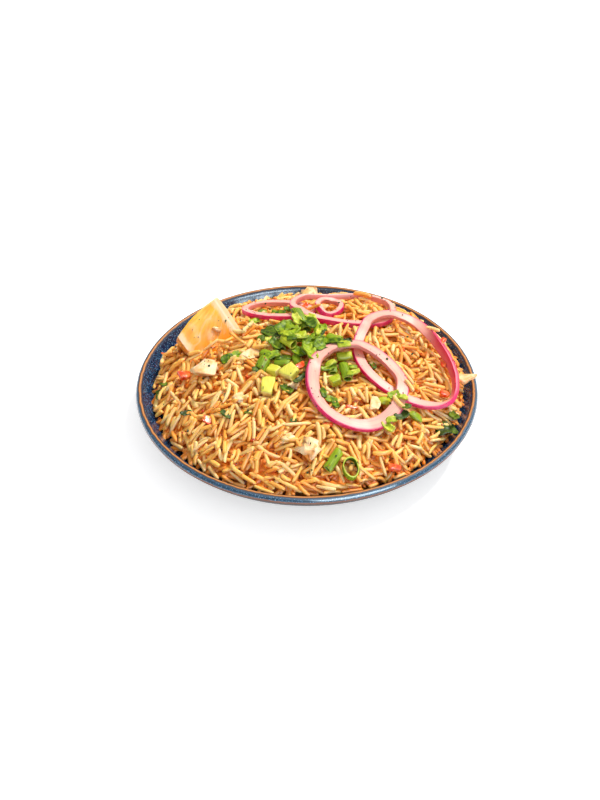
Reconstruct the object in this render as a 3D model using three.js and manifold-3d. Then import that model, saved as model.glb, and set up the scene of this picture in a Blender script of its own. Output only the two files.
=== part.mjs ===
// A plate of vegetable fried rice: a round coupe plate of glazed stoneware, a heap of long-grain
// rice out to its uneven edge, a wedge of lemon set into the rice, five slices of red onion,
// cut spring onion, and pieces of cooked vegetable.
// Units are millimetres, +Z is up, and the origin is the centre of the foot's underside.
// +X is to the right and -Y is towards the eater.
import * as THREE from 'three';
import { mergeVertices } from 'three/addons/utils/BufferGeometryUtils.js';
import Module from 'manifold-3d';

const wasm = await Module();
wasm.setup();

// ---------------------------------------------------------------- driving dimensions
const GAP = 0.35;                 // space kept between pieces that touch
const TURNS = 64;                 // facets round the plate and the heap

const PLATE_RADIUS = 105;
const RIM_TOP = 24.6;             // height of the rim's crest
const RIM_CREST_RADIUS = 103;
const FOOT_INNER = 55;
const FOOT_OUTER = 62;
const FOOT_RECESS = 3;            // how far the base is lifted inside the foot ring
const WELL_FLOOR = 7;             // top of the plate's flat middle
const WELL_RADIUS = 66;           // where the middle starts to curve up
const WALL_TOP_RADIUS = 100.8;    // inner wall just under the crest
const WALL_TOP = 23.8;
const INNER_BEND = 95.5;          // radius where the floor's line meets the inner wall's
const OUTER_BEND = [94, 5];       // the same for the outside, radius and height

const HEAP_RADIUS = 96.8;         // mean radius of the rice
const HEAP_EDGE = 6.5;            // thickness of the rice at its edge
const HEAP_RISE = 22.5;           // from the edge up to the middle of the dome
const HEAP_FULLNESS = 2.3;        // power of the dome's profile, 2 is a parabola
// the edge swells and shrinks: how many times round, by how much, and towards which degree
const HEAP_WAVES = [[1, 1, -17], [2, 1.2, 146], [3, 1.2, 80]];
// low mounds and hollows of the heap: x, y, height and spread
const HEAP_MOUNDS = [
  [52, 46, 7, 26], [-50, 58, -3, 22], [12, 8, 2, 24], [50, -30, 2.5, 24], [-10, -55, 1.5, 28],
];

const ONION_STATIONS = 40;
const ONION_STEEPEST = 0.32;      // rise of a ring along its length, it is too stiff for more
const ONION_SMOOTHING = 4;        // passes that round off a ring's bends
const TUBE_WALL = 1.1;            // of a spring onion's leaf

const LEMON_RADIUS = 35;          // across the cut face, from the trimmed core to the rind
const LEMON_HALF_LENGTH = 38;     // from the crosswise cut to the stem end
const LEMON_ANGLE = 76;           // between the two cut faces
const LEMON_CORE_WIDTH = 4.4;     // of the white strip where the core was trimmed
const LEMON_CORE_TOP = 2.7;       // its width at the crosswise cut
const LEMON_CORE_WIDENS = 8;      // depth under the cut where the strip has its full width
const LEMON_CORE_SLOPE = 0.4;
const LEMON_STEM_POWER = 3.3;     // how bluntly the stem end closes, 2 is an ellipsoid
const LEMON_CUT_SLANT = 0.184;    // how far the crosswise cut leans down towards the rind
const LEMON_CUT_SWELL = 2.2;      // and how far its middle stands up
const LEMON_CUT_LEAN = 0.3;       // how far it leans down under the upper face

// ---------------------------------------------------------------- materials
const finish = (color, roughness) => new THREE.MeshStandardMaterial({ color, roughness, metalness: 0 });
const GLAZE = finish(0x34536b, 0.3);
const RICE = finish(0xf5bd7c, 0.55);
const LEMON = finish(0xffc668, 0.4);
const ONION = finish(0xf6b6b4, 0.35);
const SCALLION = finish(0x5c9420, 0.4);
const SCALLION_LIGHT = finish(0xa8bf4a, 0.4);
const SCALLION_WHITE = finish(0xf0e070, 0.45);
const PALE_VEGETABLE = finish(0xf6d0a0, 0.5);
const RED_PEPPER = finish(0xe4582f, 0.4);
const LEAF = finish(0x2f4d10, 0.5);

// ---------------------------------------------------------------- helpers
const degrees = THREE.MathUtils.degToRad;
const lerp = THREE.MathUtils.lerp;

/** Merge a geometry's corners, drop flat triangles and turn its faces outwards. */
function closed(source) {
  const bare = source.clone();
  bare.deleteAttribute('normal');
  bare.deleteAttribute('uv');
  const merged = mergeVertices(bare, 1e-3);
  const at = merged.getAttribute('position');
  const old = merged.getIndex().array;
  const index = [];
  let volume = 0;
  const corner = [0, 1, 2].map(() => new THREE.Vector3());
  for (let i = 0; i < old.length; i += 3) {
    const [a, b, c] = [old[i], old[i + 1], old[i + 2]];
    if (a === b || b === c || a === c) continue;
    index.push(a, b, c);
    [a, b, c].forEach((v, k) => corner[k].fromBufferAttribute(at, v));
    volume += corner[0].dot(corner[1].cross(corner[2])) / 6;
  }
  if (volume < 0) index.reverse();
  merged.setIndex(index);
  return merged;
}

/** A closed skin through rings of points; the first and last ring are closed by a fan. */
function loft(rings) {
  const points = rings.flat();
  const index = [];
  const n = rings[0].length;
  for (let r = 0; r + 1 < rings.length; r++) {
    for (let i = 0; i < n; i++) {
      const j = (i + 1) % n;
      const [a, b, c, d] = [r * n + i, r * n + j, (r + 1) * n + j, (r + 1) * n + i];
      index.push(a, b, c, a, c, d);
    }
  }
  [0, rings.length - 1].forEach((r, end) => {
    const middle = new THREE.Vector3();
    rings[r].forEach((p) => middle.addScaledVector(p, 1 / n));
    const m = points.push(middle) - 1;
    for (let i = 0; i < n; i++) {
      const [a, b] = [r * n + i, r * n + ((i + 1) % n)];
      index.push(...(end ? [a, b, m] : [b, a, m]));
    }
  });
  return closed(new THREE.BufferGeometry().setFromPoints(points).setIndex(index));
}

/** A closed hoop through sections, each a list of points; the last joins the first. */
function hoop(sections) {
  const n = sections[0].length;
  const index = [];
  sections.forEach((_, s) => {
    const next = (s + 1) % sections.length;
    for (let i = 0; i < n; i++) {
      const j = (i + 1) % n;
      const [a, b, c, d] = [s * n + i, s * n + j, next * n + j, next * n + i];
      index.push(a, b, c, a, c, d);
    }
  });
  return closed(new THREE.BufferGeometry().setFromPoints(sections.flat()).setIndex(index));
}

/** Revolve a closed profile of [radius, height] points about the Z axis. */
function revolve(profile, turns) {
  const points = profile.map(([r, z]) => new THREE.Vector2(r, z));
  return closed(new THREE.LatheGeometry(points, turns).rotateX(Math.PI / 2));
}

function solid(geometry) {
  return new wasm.Manifold(new wasm.Mesh({
    numProp: 3,
    vertProperties: Float32Array.from(geometry.getAttribute('position').array),
    triVerts: Uint32Array.from(geometry.getIndex().array),
  }));
}

function fromSolid(manifold) {
  const mesh = manifold.getMesh();
  const geometry = new THREE.BufferGeometry();
  geometry.setAttribute('position', new THREE.BufferAttribute(mesh.vertProperties, 3));
  geometry.setIndex(new THREE.BufferAttribute(mesh.triVerts, 1));
  return geometry;
}

/** Call visit(x, y, z) on points spread over every triangle, no further apart than step. */
function overSurface(geometry, step, visit) {
  const at = geometry.getAttribute('position');
  const index = geometry.getIndex().array;
  const [a, b, c, p] = [0, 1, 2, 3].map(() => new THREE.Vector3());
  for (let i = 0; i < index.length; i += 3) {
    a.fromBufferAttribute(at, index[i]);
    b.fromBufferAttribute(at, index[i + 1]);
    c.fromBufferAttribute(at, index[i + 2]);
    const n = Math.ceil(Math.max(a.distanceTo(b), b.distanceTo(c), c.distanceTo(a)) / step);
    for (let u = 0; u <= n; u++) {
      for (let v = 0; u + v <= n; v++) {
        p.copy(a).multiplyScalar(1 - (u + v) / n).addScaledVector(b, u / n).addScaledVector(c, v / n);
        visit(p.x, p.y, p.z);
      }
    }
  }
}

// ---------------------------------------------------------------- plate
/** The plate's inner wall as [radius, height], from the well's edge up to the crest. */
const INNER_WALL = new THREE.QuadraticBezierCurve(
  new THREE.Vector2(WELL_RADIUS, WELL_FLOOR),
  new THREE.Vector2(INNER_BEND, WELL_FLOOR + 0.5),
  new THREE.Vector2(WALL_TOP_RADIUS, WALL_TOP),
).getPoints(7).map((p) => [p.x, p.y]);

function plateFloor(radius) {
  if (radius <= WELL_RADIUS) return WELL_FLOOR;
  const above = INNER_WALL.findIndex(([r]) => r >= radius);
  if (above < 0) return WALL_TOP;
  const [[r0, z0], [r1, z1]] = [INNER_WALL[above - 1], INNER_WALL[above]];
  return lerp(z0, z1, (radius - r0) / (r1 - r0));
}

function plate() {
  const outerWall = new THREE.QuadraticBezierCurve(
    new THREE.Vector2(FOOT_OUTER + 1, FOOT_RECESS - 0.5),
    new THREE.Vector2(...OUTER_BEND),
    new THREE.Vector2(PLATE_RADIUS - 2, RIM_TOP - 5.6),
  ).getPoints(5).map((p) => [p.x, p.y]);
  const profile = [
    [0, FOOT_RECESS],
    [FOOT_INNER, FOOT_RECESS],
    [FOOT_INNER + 1, 0],
    [FOOT_OUTER, 0],
    ...outerWall,
    [PLATE_RADIUS - 0.7, RIM_TOP - 4.2],
    [PLATE_RADIUS, RIM_TOP - 2.4],
    [PLATE_RADIUS - 0.6, RIM_TOP - 0.9],
    [RIM_CREST_RADIUS + 0.6, RIM_TOP - 0.2],
    [RIM_CREST_RADIUS - 0.4, RIM_TOP],
    [RIM_CREST_RADIUS - 1.6, RIM_TOP - 0.3],
    ...INNER_WALL.toReversed(),
    [0, WELL_FLOOR],
  ];
  return revolve(profile, TURNS);
}

// ---------------------------------------------------------------- rice heap
function heapRadius(angle) {
  return HEAP_WAVES.reduce(
    (r, [times, swell, towards]) => r + swell * Math.cos(times * angle - degrees(towards)),
    HEAP_RADIUS,
  );
}

/** Height of the heap's top over the point x, y. */
function heapTop(x, y) {
  const edge = heapRadius(Math.atan2(y, x));
  const share = Math.min(Math.hypot(x, y) / edge, 1);
  const meanEdge = plateFloor(HEAP_RADIUS) + HEAP_EDGE;
  const edgeRise = plateFloor(edge) + HEAP_EDGE - meanEdge;
  const dome = HEAP_RISE * (1 - share ** HEAP_FULLNESS);
  const mounds = HEAP_MOUNDS.reduce((z, [mx, my, height, spread]) => {
    const far = ((x - mx) ** 2 + (y - my) ** 2) / (2 * spread ** 2);
    return z + height * Math.exp(-far);
  }, 0);
  return meanEdge + edgeRise * share ** 3 + dome + mounds * (1 - share ** 4);
}

function riceHeap() {
  const ring = (place) => Array.from({ length: TURNS }, (_, i) => {
    const angle = (i / TURNS) * 2 * Math.PI;
    const [radius, height] = place(angle);
    return new THREE.Vector3(radius * Math.cos(angle), radius * Math.sin(angle), height);
  });
  const topShares = [0.05, 0.15, 0.27, 0.39, 0.51, 0.63, 0.75, 0.86, 0.94, 1];
  const top = topShares.map((share) => ring((angle) => {
    const radius = share * heapRadius(angle);
    return [radius, heapTop(radius * Math.cos(angle), radius * Math.sin(angle))];
  }));
  const edge = [[0.9, 0.5], [0.8, 0]].map(([out, lift]) => ring((angle) => {
    const radius = heapRadius(angle) + out;
    return [radius, plateFloor(radius) + GAP + lift * HEAP_EDGE];
  }));
  const underside = INNER_WALL.filter(([r]) => r < HEAP_RADIUS - 5).toReversed()
    .map(([r, z]) => ring(() => [r, z + GAP]));
  const middle = ring(() => [10, WELL_FLOOR + GAP]);
  return loft([...top, ...edge, ...underside, middle]);
}

// ---------------------------------------------------------------- what has been laid so far
/** Heights over a grid of cells, so that each piece rests on what lies under it. */
const PILE_CELL = 0.5;
const PILE_HALF = 110;
const PILE_ACROSS = (2 * PILE_HALF) / PILE_CELL;
const pile = {
  heights: new Float32Array(PILE_ACROSS * PILE_ACROSS),
  index(x, y) {
    const column = Math.floor((x + PILE_HALF) / PILE_CELL);
    const row = Math.floor((y + PILE_HALF) / PILE_CELL);
    return row * PILE_ACROSS + column;
  },
  start() {
    this.heights.forEach((_, i) => {
      const x = ((i % PILE_ACROSS) + 0.5) * PILE_CELL - PILE_HALF;
      const y = (Math.floor(i / PILE_ACROSS) + 0.5) * PILE_CELL - PILE_HALF;
      const radius = Math.hypot(x, y);
      const onRice = radius < heapRadius(Math.atan2(y, x)) + 1;
      this.heights[i] = onRice ? heapTop(x, y) : plateFloor(radius);
    });
  },
  add(geometry) {
    overSurface(geometry, PILE_CELL / 2, (x, y, z) => {
      const i = this.index(x, y);
      this.heights[i] = Math.max(this.heights[i], z);
    });
  },
  /** Highest point within reach of x, y. */
  highest(x, y, reach) {
    let top = -Infinity;
    for (let dx = -reach; dx <= reach; dx += PILE_CELL) {
      for (let dy = -reach; dy <= reach; dy += PILE_CELL) {
        if (dx * dx + dy * dy > reach * reach + 0.1) continue;
        top = Math.max(top, this.heights[this.index(x + dx, y + dy)]);
      }
    }
    return top;
  },
};
pile.start();

const group = new THREE.Group();

function addMesh(name, geometry, material) {
  const mesh = new THREE.Mesh(geometry, material);
  mesh.name = name;
  group.add(mesh);
  return mesh;
}

/** Turn a piece, move it over x, y and lower it until it rests on the pile. */
function rest(name, shape, material, { x, y, heading = 0, tilt = 0, spin = 0 }) {
  const turn = new THREE.Euler(degrees(spin), degrees(-tilt), degrees(heading), 'ZYX');
  const geometry = closed(shape).applyMatrix4(new THREE.Matrix4().makeRotationFromEuler(turn));
  geometry.translate(x, y, 0);
  let lift = -Infinity;
  overSurface(geometry, PILE_CELL, (px, py, pz) => {
    lift = Math.max(lift, pile.highest(px, py, PILE_CELL) - pz);
  });
  geometry.translate(0, 0, lift + GAP);
  pile.add(geometry);
  return addMesh(name, geometry, material);
}

// ---------------------------------------------------------------- lemon
// the wedge's own frame: up along the core, across the upper cut face to the rind, and its normal
const LEMON_CORNER = new THREE.Vector3(-57.6, 41.3, 57.1);
const LEMON_ALONG = new THREE.Vector3(-0.542, 0.392, 0.742).normalize();
const LEMON_ACROSS = new THREE.Vector3(-0.726, -0.659, -0.183).normalize();
const LEMON_NORMAL = new THREE.Vector3().crossVectors(LEMON_ALONG, LEMON_ACROSS).normalize();

/** The wedge out to its skin, or swollen all round by a small distance. */
function lemonWedge(swell) {
  const section = (depth) => {
    const share = Math.min(Math.max(depth, 0) / LEMON_HALF_LENGTH, 0.98);
    const radius = LEMON_RADIUS * Math.sqrt(1 - share ** LEMON_STEM_POWER) + swell;
    const widened = Math.min(Math.max(depth, 0) / LEMON_CORE_WIDENS, 1);
    const width = lerp(LEMON_CORE_TOP, LEMON_CORE_WIDTH, widened) + swell;
    const place = (u, v) => {
      const out = Math.min(Math.max(u / LEMON_RADIUS, 0), 1);
      const cut = LEMON_CUT_SLANT * u - 4 * LEMON_CUT_SWELL * out * (1 - out) - LEMON_CUT_LEAN * v;
      return LEMON_CORNER.clone()
        .addScaledVector(LEMON_ALONG, -depth - cut * (1 - share))
        .addScaledVector(LEMON_ACROSS, u)
        .addScaledVector(LEMON_NORMAL, v);
    };
    const points = [[0, swell], [-width, -(width - swell) * LEMON_CORE_SLOPE]];
    for (let i = 0; i <= 7; i++) {
      const angle = degrees(lerp(LEMON_ANGLE, 0, i / 7));
      points.push([radius * Math.cos(angle), -radius * Math.sin(angle)]);
    }
    if (swell > 0) points.push([radius, swell]);
    [0.75, 0.5, 0.25].forEach((share) => points.push([radius * share, swell]));
    return points.map(([u, v]) => place(u, v));
  };
  const depths = [-swell, 6, 12, 18, 24, 30, 35, LEMON_HALF_LENGTH + swell];
  return loft(depths.map(section));
}

// ---------------------------------------------------------------- onion
/**
 * A slice's ring: an egg-shaped hoop of a band that drapes over the pile as a stiff, springy strip
 * does. width is the layer's, from its inner to its outer side, and thick is the slice's.
 * roll turns the band up onto its inner edge round the given direction.
 */
function onionRing(name, course) {
  const { x, y, long, wide, heading, egg, width, thick, roll = 0, rollAt = 0, rollSpread = 60 } = course;
  const turn = degrees(heading);
  const stations = Array.from({ length: ONION_STATIONS }, (_, i) => {
    const t = (i / ONION_STATIONS) * 2 * Math.PI;
    const size = 1 + egg * Math.cos(3 * t);
    const [u, v] = [long * size * Math.cos(t), wide * size * Math.sin(t)];
    return new THREE.Vector2(u, v).rotateAround(new THREE.Vector2(), turn).add(new THREE.Vector2(x, y));
  });
  const count = stations.length;
  const frames = stations.map((p, i) => {
    const along = stations[(i + 1) % count].clone().sub(stations[(i + count - 1) % count]).normalize();
    const out = new THREE.Vector2(along.y, -along.x);
    const bearing = THREE.MathUtils.radToDeg(Math.atan2(p.y - y, p.x - x));
    const away = Math.abs(((bearing - rollAt + 540) % 360) - 180);
    const lean = degrees(roll) * Math.exp(-((away / rollSpread) ** 4));
    return { p, out, lean };
  });
  const rail = (side) => {
    const need = frames.map(({ p, out, lean }) => {
      const aside = (side * width * Math.cos(lean)) / 2;
      const underBand = width * 0.55 + 0.4;
      return pile.highest(p.x + out.x * aside, p.y + out.y * aside, underBand) + GAP;
    });
    const step = (2 * Math.PI * Math.sqrt((long * long + wide * wide) / 2)) / count;
    let heights = need.map((_, i) => Math.max(...need.map((z, j) => {
      const apart = Math.min(Math.abs(i - j), count - Math.abs(i - j));
      return z - apart * step * ONION_STEEPEST;
    })));
    for (let pass = 0; pass < ONION_SMOOTHING; pass++) {
      heights = heights.map((z, i) => {
        const mean = (heights[(i + count - 1) % count] + 2 * z + heights[(i + 1) % count]) / 4;
        return Math.max(mean, need[i]);
      });
    }
    return heights;
  };
  const [inner, outer] = [rail(-1), rail(1)];
  const sections = frames.map(({ p, out, lean }, i) => {
    const flat = (width / 2) * Math.cos(lean);
    const low = new THREE.Vector3(p.x - out.x * flat, p.y - out.y * flat, inner[i]);
    const highRail = outer[i] + width * Math.sin(lean);
    const high = new THREE.Vector3(p.x + out.x * flat, p.y + out.y * flat, highRail);
    const across = high.clone().sub(low).normalize();
    const along = new THREE.Vector3(-out.y, out.x, 0);
    const up = new THREE.Vector3().crossVectors(across, along).normalize();
    if (up.z < 0) up.negate();
    up.multiplyScalar(thick);
    return [low, high, high.clone().add(up), low.clone().add(up)];
  });
  const geometry = hoop(sections);
  pile.add(geometry);
  return addMesh(name, geometry, ONION);
}

// ---------------------------------------------------------------- small pieces
/** A hollow piece of spring onion lying along X, squashed to height and cut askew. */
function scallionTube(length, width, height, skew = 0) {
  const outer = width / 2;
  const inner = outer - TUBE_WALL;
  const half = length / 2;
  const profile = [[inner, -half], [outer, -half], [outer, half], [inner, half], [inner, -half]];
  const geometry = revolve(profile, 12).rotateY(Math.PI / 2);
  const at = geometry.getAttribute('position');
  for (let i = 0; i < at.count; i++) {
    at.setX(i, at.getX(i) + skew * at.getY(i));
    at.setZ(i, at.getZ(i) * (height / width));
  }
  return geometry;
}

/** A cut piece with slightly swollen faces, longer at one side than at the other. */
function cutBlock(length, width, height, taper = 0.12) {
  const geometry = new THREE.BoxGeometry(length, width, height, 2, 2, 2);
  const at = geometry.getAttribute('position');
  const half = [length / 2, width / 2, height / 2];
  for (let i = 0; i < at.count; i++) {
    const [u, v, w] = [at.getX(i) / half[0], at.getY(i) / half[1], at.getZ(i) / half[2]];
    const swell = (a, b) => 0.86 + 0.14 * (1 - (a * a + b * b) / 2);
    at.setX(i, half[0] * u * swell(v, w) * (1 + taper * v));
    at.setY(i, half[1] * v * swell(u, w) * (1 - taper * u));
    at.setZ(i, half[2] * w * swell(u, v) * (1 + taper * u * v));
  }
  return geometry;
}

/** A lumpy morsel: a ball stretched to size, with low bumps that differ by phase. */
function morsel(length, width, height, phase) {
  const geometry = new THREE.IcosahedronGeometry(1, 1);
  const at = geometry.getAttribute('position');
  const p = new THREE.Vector3();
  for (let i = 0; i < at.count; i++) {
    p.fromBufferAttribute(at, i);
    const bump = 0.12 * Math.sin(3.1 * p.x + phase) + 0.1 * Math.cos(4.3 * p.y - 2 * phase + p.z);
    p.multiplyScalar(1 + bump);
    at.setXYZ(i, (p.x * length) / 2, (p.y * width) / 2, (p.z * height) / 2);
  }
  return geometry;
}

/** A lobed leaf, bent upwards along its middle. */
function lobedLeaf(length, width, thickness, lobes) {
  const outline = new THREE.Shape(Array.from({ length: lobes * 4 }, (_, i) => {
    const t = (i / (lobes * 4)) * 2 * Math.PI;
    const size = 1 + 0.16 * Math.cos(lobes * t);
    return new THREE.Vector2((length / 2) * size * Math.cos(t), (width / 2) * size * Math.sin(t));
  }));
  const geometry = new THREE.ExtrudeGeometry(outline, { depth: thickness, bevelEnabled: false });
  const at = geometry.getAttribute('position');
  for (let i = 0; i < at.count; i++) {
    const across = at.getY(i) / (width / 2);
    at.setZ(i, at.getZ(i) + 1.6 * across * across);
  }
  return geometry;
}

// ---------------------------------------------------------------- the dish
addMesh('plate', plate(), GLAZE);

const wedge = lemonWedge(0);
pile.add(wedge);
const heap = fromSolid(solid(riceHeap()).subtract(solid(lemonWedge(GAP))));
addMesh('rice_heap', heap, RICE);
addMesh('lemon_wedge', wedge, LEMON);

rest('pale_vegetable_back', morsel(11, 8, 7, 0.4), PALE_VEGETABLE, { x: 1.4, y: 74.7, heading: -35 });
onionRing('onion_ring_left', {
  x: -18.1, y: 48.4, long: 23.4, wide: 10.6, heading: -26, egg: 0.02, width: 4.4, thick: 3.6,
});
onionRing('onion_ring_back', {
  x: 24.7, y: 42.9, long: 31.1, wide: 20.1, heading: -2, egg: -0.08, width: 3.8, thick: 4.2,
});
onionRing('onion_ring_small', {
  x: 14.2, y: 43.4, long: 7.6, wide: 10.2, heading: -14, egg: 0, width: 3.2, thick: 3.8,
});

rest('green_leaf', lobedLeaf(15, 10, 1.4, 5), LEAF, { x: -19, y: 20.6, heading: -30, tilt: 8 });
/** Lay spring onion tubes, each [name, length, width, height, x, y, heading, tilt, skew, light]. */
function layScallions(rows) {
  for (const [name, length, width, height, x, y, heading, tilt, skew, light] of rows) {
    const material = light ? SCALLION_LIGHT : SCALLION;
    rest(name, scallionTube(length, width, height, skew), material, { x, y, heading, tilt });
  }
}

layScallions([
  ['scallion_back_under', 13, 7.5, 4.5, -10, 17.4, -72, 12, 0.2, false],
  ['scallion_back', 16, 7, 5.5, -3.4, 23.5, -64, -18, 0.35, false],
  ['scallion_upright', 8, 6, 4.5, 7, 12.8, -88, 4, 0, false],
  ['scallion_dark_end', 9, 6.5, 4.5, -16.3, 3.5, -86, 2, 0.2, false],
  ['scallion_light_open', 11, 7.5, 5.5, -11.2, -0.4, -55, 8, -0.3, true],
  ['scallion_broad', 13.5, 8.5, 5, 2.4, -0.7, -125, 4, 0.3, true],
  ['scallion_small', 7.5, 5.5, 4, -5.9, -12.4, -78, -6, 0.1, false],
  ['scallion_mid_strip', 10, 4, 3, 2, -18, 11, 2, 0, false],
  ['scallion_left_rear', 9.5, 6.5, 4.5, -23.1, -4.9, -33, 6, 0.2, false],
  ['scallion_left_front', 9.5, 8, 5.5, -26.4, -14.6, -112, -10, 0.3, false],
  ['scallion_mid_low', 9, 5, 3.5, -14.9, -13.6, -8, 4, 0, false],
  ['scallion_right', 9, 6, 4, 16.5, 7.9, -26, 2, 0.2, false],
  ['scallion_shaded', 9, 5.5, 4, 10.2, -4.5, 46, 2, -0.2, false],
]);
rest('scallion_bud', cutBlock(7, 6, 5), SCALLION_LIGHT, { x: -3.7, y: 4.6, heading: -11, tilt: 12 });
rest('scallion_white_cube', cutBlock(8, 6.5, 5), SCALLION_WHITE, {
  x: -19.8, y: -21.4, heading: -34, tilt: 4,
});
rest('scallion_yellow_front', cutBlock(14, 8, 4), SCALLION_WHITE, {
  x: -23.1, y: -33.1, heading: -95, tilt: -8,
});
rest('scallion_yellow_slice', cutBlock(10, 10, 4.5), SCALLION_WHITE, {
  x: -10, y: -25.7, heading: 43, tilt: 14,
});

rest('pale_vegetable_shard', cutBlock(11.5, 7.5, 2.5, 0.5), PALE_VEGETABLE, {
  x: 97, y: -4.2, heading: 6, tilt: 4,
});
onionRing('onion_ring_right', {
  x: 60.4, y: -4.9, long: 28.6, wide: 35.9, heading: 28, egg: -0.034, width: 6, thick: 3.2,
  roll: 72, rollAt: 5, rollSpread: 62,
});

layScallions([
  ['scallion_inner_dark', 10, 6, 3.5, 14.7, -18.3, -84, -4, 0, false],
  ['scallion_inner', 13, 6, 4.5, 22.6, -23.2, -80, -4, 0.1, false],
  ['scallion_inner_top', 9, 6, 4.5, 22.2, -10.9, 8, 2, 0, true],
]);
rest('scallion_inner_cube', cutBlock(7, 6, 5), SCALLION_LIGHT, {
  x: 16.5, y: -30.7, heading: 20, tilt: 6,
});
rest('onion_bud', morsel(10, 6, 3.5, 1.2), SCALLION_LIGHT, { x: 44.8, y: -41.1, heading: 12, tilt: -12 });
onionRing('onion_ring_front', {
  x: 28.2, y: -33, long: 26.5, wide: 28.5, heading: -4, egg: 0.01, width: 7.2, thick: 3.2,
});

rest('green_pod', morsel(11, 5.5, 3.5, 2.1), SCALLION, { x: 63.1, y: -46.3, heading: -22, tilt: -24 });
rest('scallion_front', scallionTube(14, 6, 4.5, 0.3), SCALLION, {
  x: 14.5, y: -83.9, heading: -122, tilt: -14,
});
rest('scallion_front_ring', scallionTube(4, 14, 9.5), SCALLION, {
  x: 24, y: -87.3, heading: -70, tilt: 66, spin: 80,
});
rest('pale_vegetable_lemon', morsel(15, 11, 7, 0.9), PALE_VEGETABLE, {
  x: -61.2, y: -10, heading: -25, tilt: -10,
});
rest('pale_vegetable_front', morsel(12, 10, 6, 2.4), PALE_VEGETABLE, {
  x: 1.4, y: -77.4, heading: -60, tilt: -12,
});
rest('red_pepper_left', cutBlock(8, 7, 3), RED_PEPPER, { x: -73.9, y: -9.3, heading: 20, tilt: -16 });
rest('red_pepper_front', cutBlock(8, 4.5, 3), RED_PEPPER, { x: 49.1, y: -82.2, heading: 5, tilt: -14 });
rest('red_pepper_right', cutBlock(6, 4.5, 3), RED_PEPPER, { x: 81.8, y: -23.8, heading: -10, tilt: -18 });

export default group;
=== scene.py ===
# %% [markdown]
# # A plate of vegetable fried rice
#
# The object is a round stoneware plate with a heap of fried long-grain rice, a lemon wedge,
# slices of red onion and cut spring onion. The frame below holds each of its solids at real size.
# This lesson gives every one of them its fine shape and finish, and lays the loose rice itself.

# %% Load the frame
import math

import bmesh
import bpy
import numpy as np
from mathutils import Matrix, Vector, noise
from mathutils.bvhtree import BVHTree


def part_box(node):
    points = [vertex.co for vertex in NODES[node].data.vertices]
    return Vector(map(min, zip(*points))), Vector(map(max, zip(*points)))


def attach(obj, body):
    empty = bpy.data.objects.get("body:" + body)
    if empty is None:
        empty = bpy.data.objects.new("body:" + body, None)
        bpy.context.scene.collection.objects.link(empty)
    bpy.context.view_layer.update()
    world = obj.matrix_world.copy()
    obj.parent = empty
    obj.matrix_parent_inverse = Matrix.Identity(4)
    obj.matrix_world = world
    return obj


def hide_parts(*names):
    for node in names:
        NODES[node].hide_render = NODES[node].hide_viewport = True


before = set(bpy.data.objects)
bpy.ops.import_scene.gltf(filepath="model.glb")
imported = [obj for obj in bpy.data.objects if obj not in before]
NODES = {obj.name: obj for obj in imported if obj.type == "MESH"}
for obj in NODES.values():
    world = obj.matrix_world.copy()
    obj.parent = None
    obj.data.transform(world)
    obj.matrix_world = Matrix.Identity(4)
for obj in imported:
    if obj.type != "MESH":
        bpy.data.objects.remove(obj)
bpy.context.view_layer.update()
MM = 0.001
print("nodes in the frame:", len(NODES))

# %% [markdown]
# ## Camera, light and floor
#
# The camera stands where the photographer stood: above the eater's side, looking down at the plate
# at about forty degrees. A sun lamp with a wide disc works as the key light, because it lights the
# whole plate evenly and still throws a soft shadow. It stands high at the back right.
# A white card at the front right gives the glaze something to mirror: the back left of the plate's
# inner wall and the front right of its rim face it, and the rest of the rim mirrors the dim sky.
# Photographers of glossy things do the same. The card only shows in reflections, and lights nothing.
# The white paper glows a little, so that only the deepest part of the shadow shows on it.

# %% The camera
CAMERA_PLACE = Vector((-4.17, -593.15, 502.88)) * MM
CAMERA_AIM = Vector((-4.2, -16.8, 23.0)) * MM
CAMERA_LENS = 55.71

camera = bpy.data.objects.new("camera", bpy.data.cameras.new("camera"))
camera.data.lens = CAMERA_LENS
camera.data.sensor_width = 36
camera.location = CAMERA_PLACE
camera.rotation_euler = (CAMERA_AIM - CAMERA_PLACE).to_track_quat("-Z", "Y").to_euler()
bpy.context.scene.collection.objects.link(camera)
bpy.context.scene.camera = camera
bpy.context.scene.view_settings.view_transform = "Standard"
print("camera is", round((CAMERA_AIM - CAMERA_PLACE).length, 3), "m from its aim")

# %% The key light
KEY_FROM = Vector((0.5, 0.5, 1.0))
KEY_STRENGTH = 3.5
KEY_SPREAD = math.radians(12)

key = bpy.data.objects.new("key", bpy.data.lights.new("key", "SUN"))
key.data.energy = KEY_STRENGTH
key.data.angle = KEY_SPREAD
key.data.color = (1.0, 0.97, 0.92)
key.rotation_euler = KEY_FROM.to_track_quat("Z", "Y").to_euler()
bpy.context.scene.collection.objects.link(key)
print("key light is", round(math.degrees(math.asin(KEY_FROM.normalized().z))), "degrees up")

# %% The card
CARD_PLACE = Vector((0.57, -1.07, 0.55))
CARD_WIDTH = 1.05
CARD_HEIGHT = 0.9
CARD_WATTS = 44

card = bpy.data.objects.new("card", bpy.data.lights.new("card", "AREA"))
card.data.shape = "RECTANGLE"
card.data.size = CARD_WIDTH
card.data.size_y = CARD_HEIGHT
card.data.energy = CARD_WATTS
card.data.color = (0.74, 0.9, 1.0)
card.location = CARD_PLACE
card.rotation_euler = CARD_PLACE.to_track_quat("Z", "Y").to_euler()
card.visible_diffuse = False
bpy.context.scene.collection.objects.link(card)
print("card is", round(CARD_PLACE.length, 2), "m from the plate")


# %% Colours are given as a picture editor shows them
def paint(red, green, blue):
    """The linear colour of an sRGB colour whose parts go from 0 to 255."""
    parts = [c / 255 for c in (red, green, blue)]
    linear = [c / 12.92 if c <= 0.04045 else ((c + 0.055) / 1.055) ** 2.4 for c in parts]
    return (*linear, 1.0)


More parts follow.
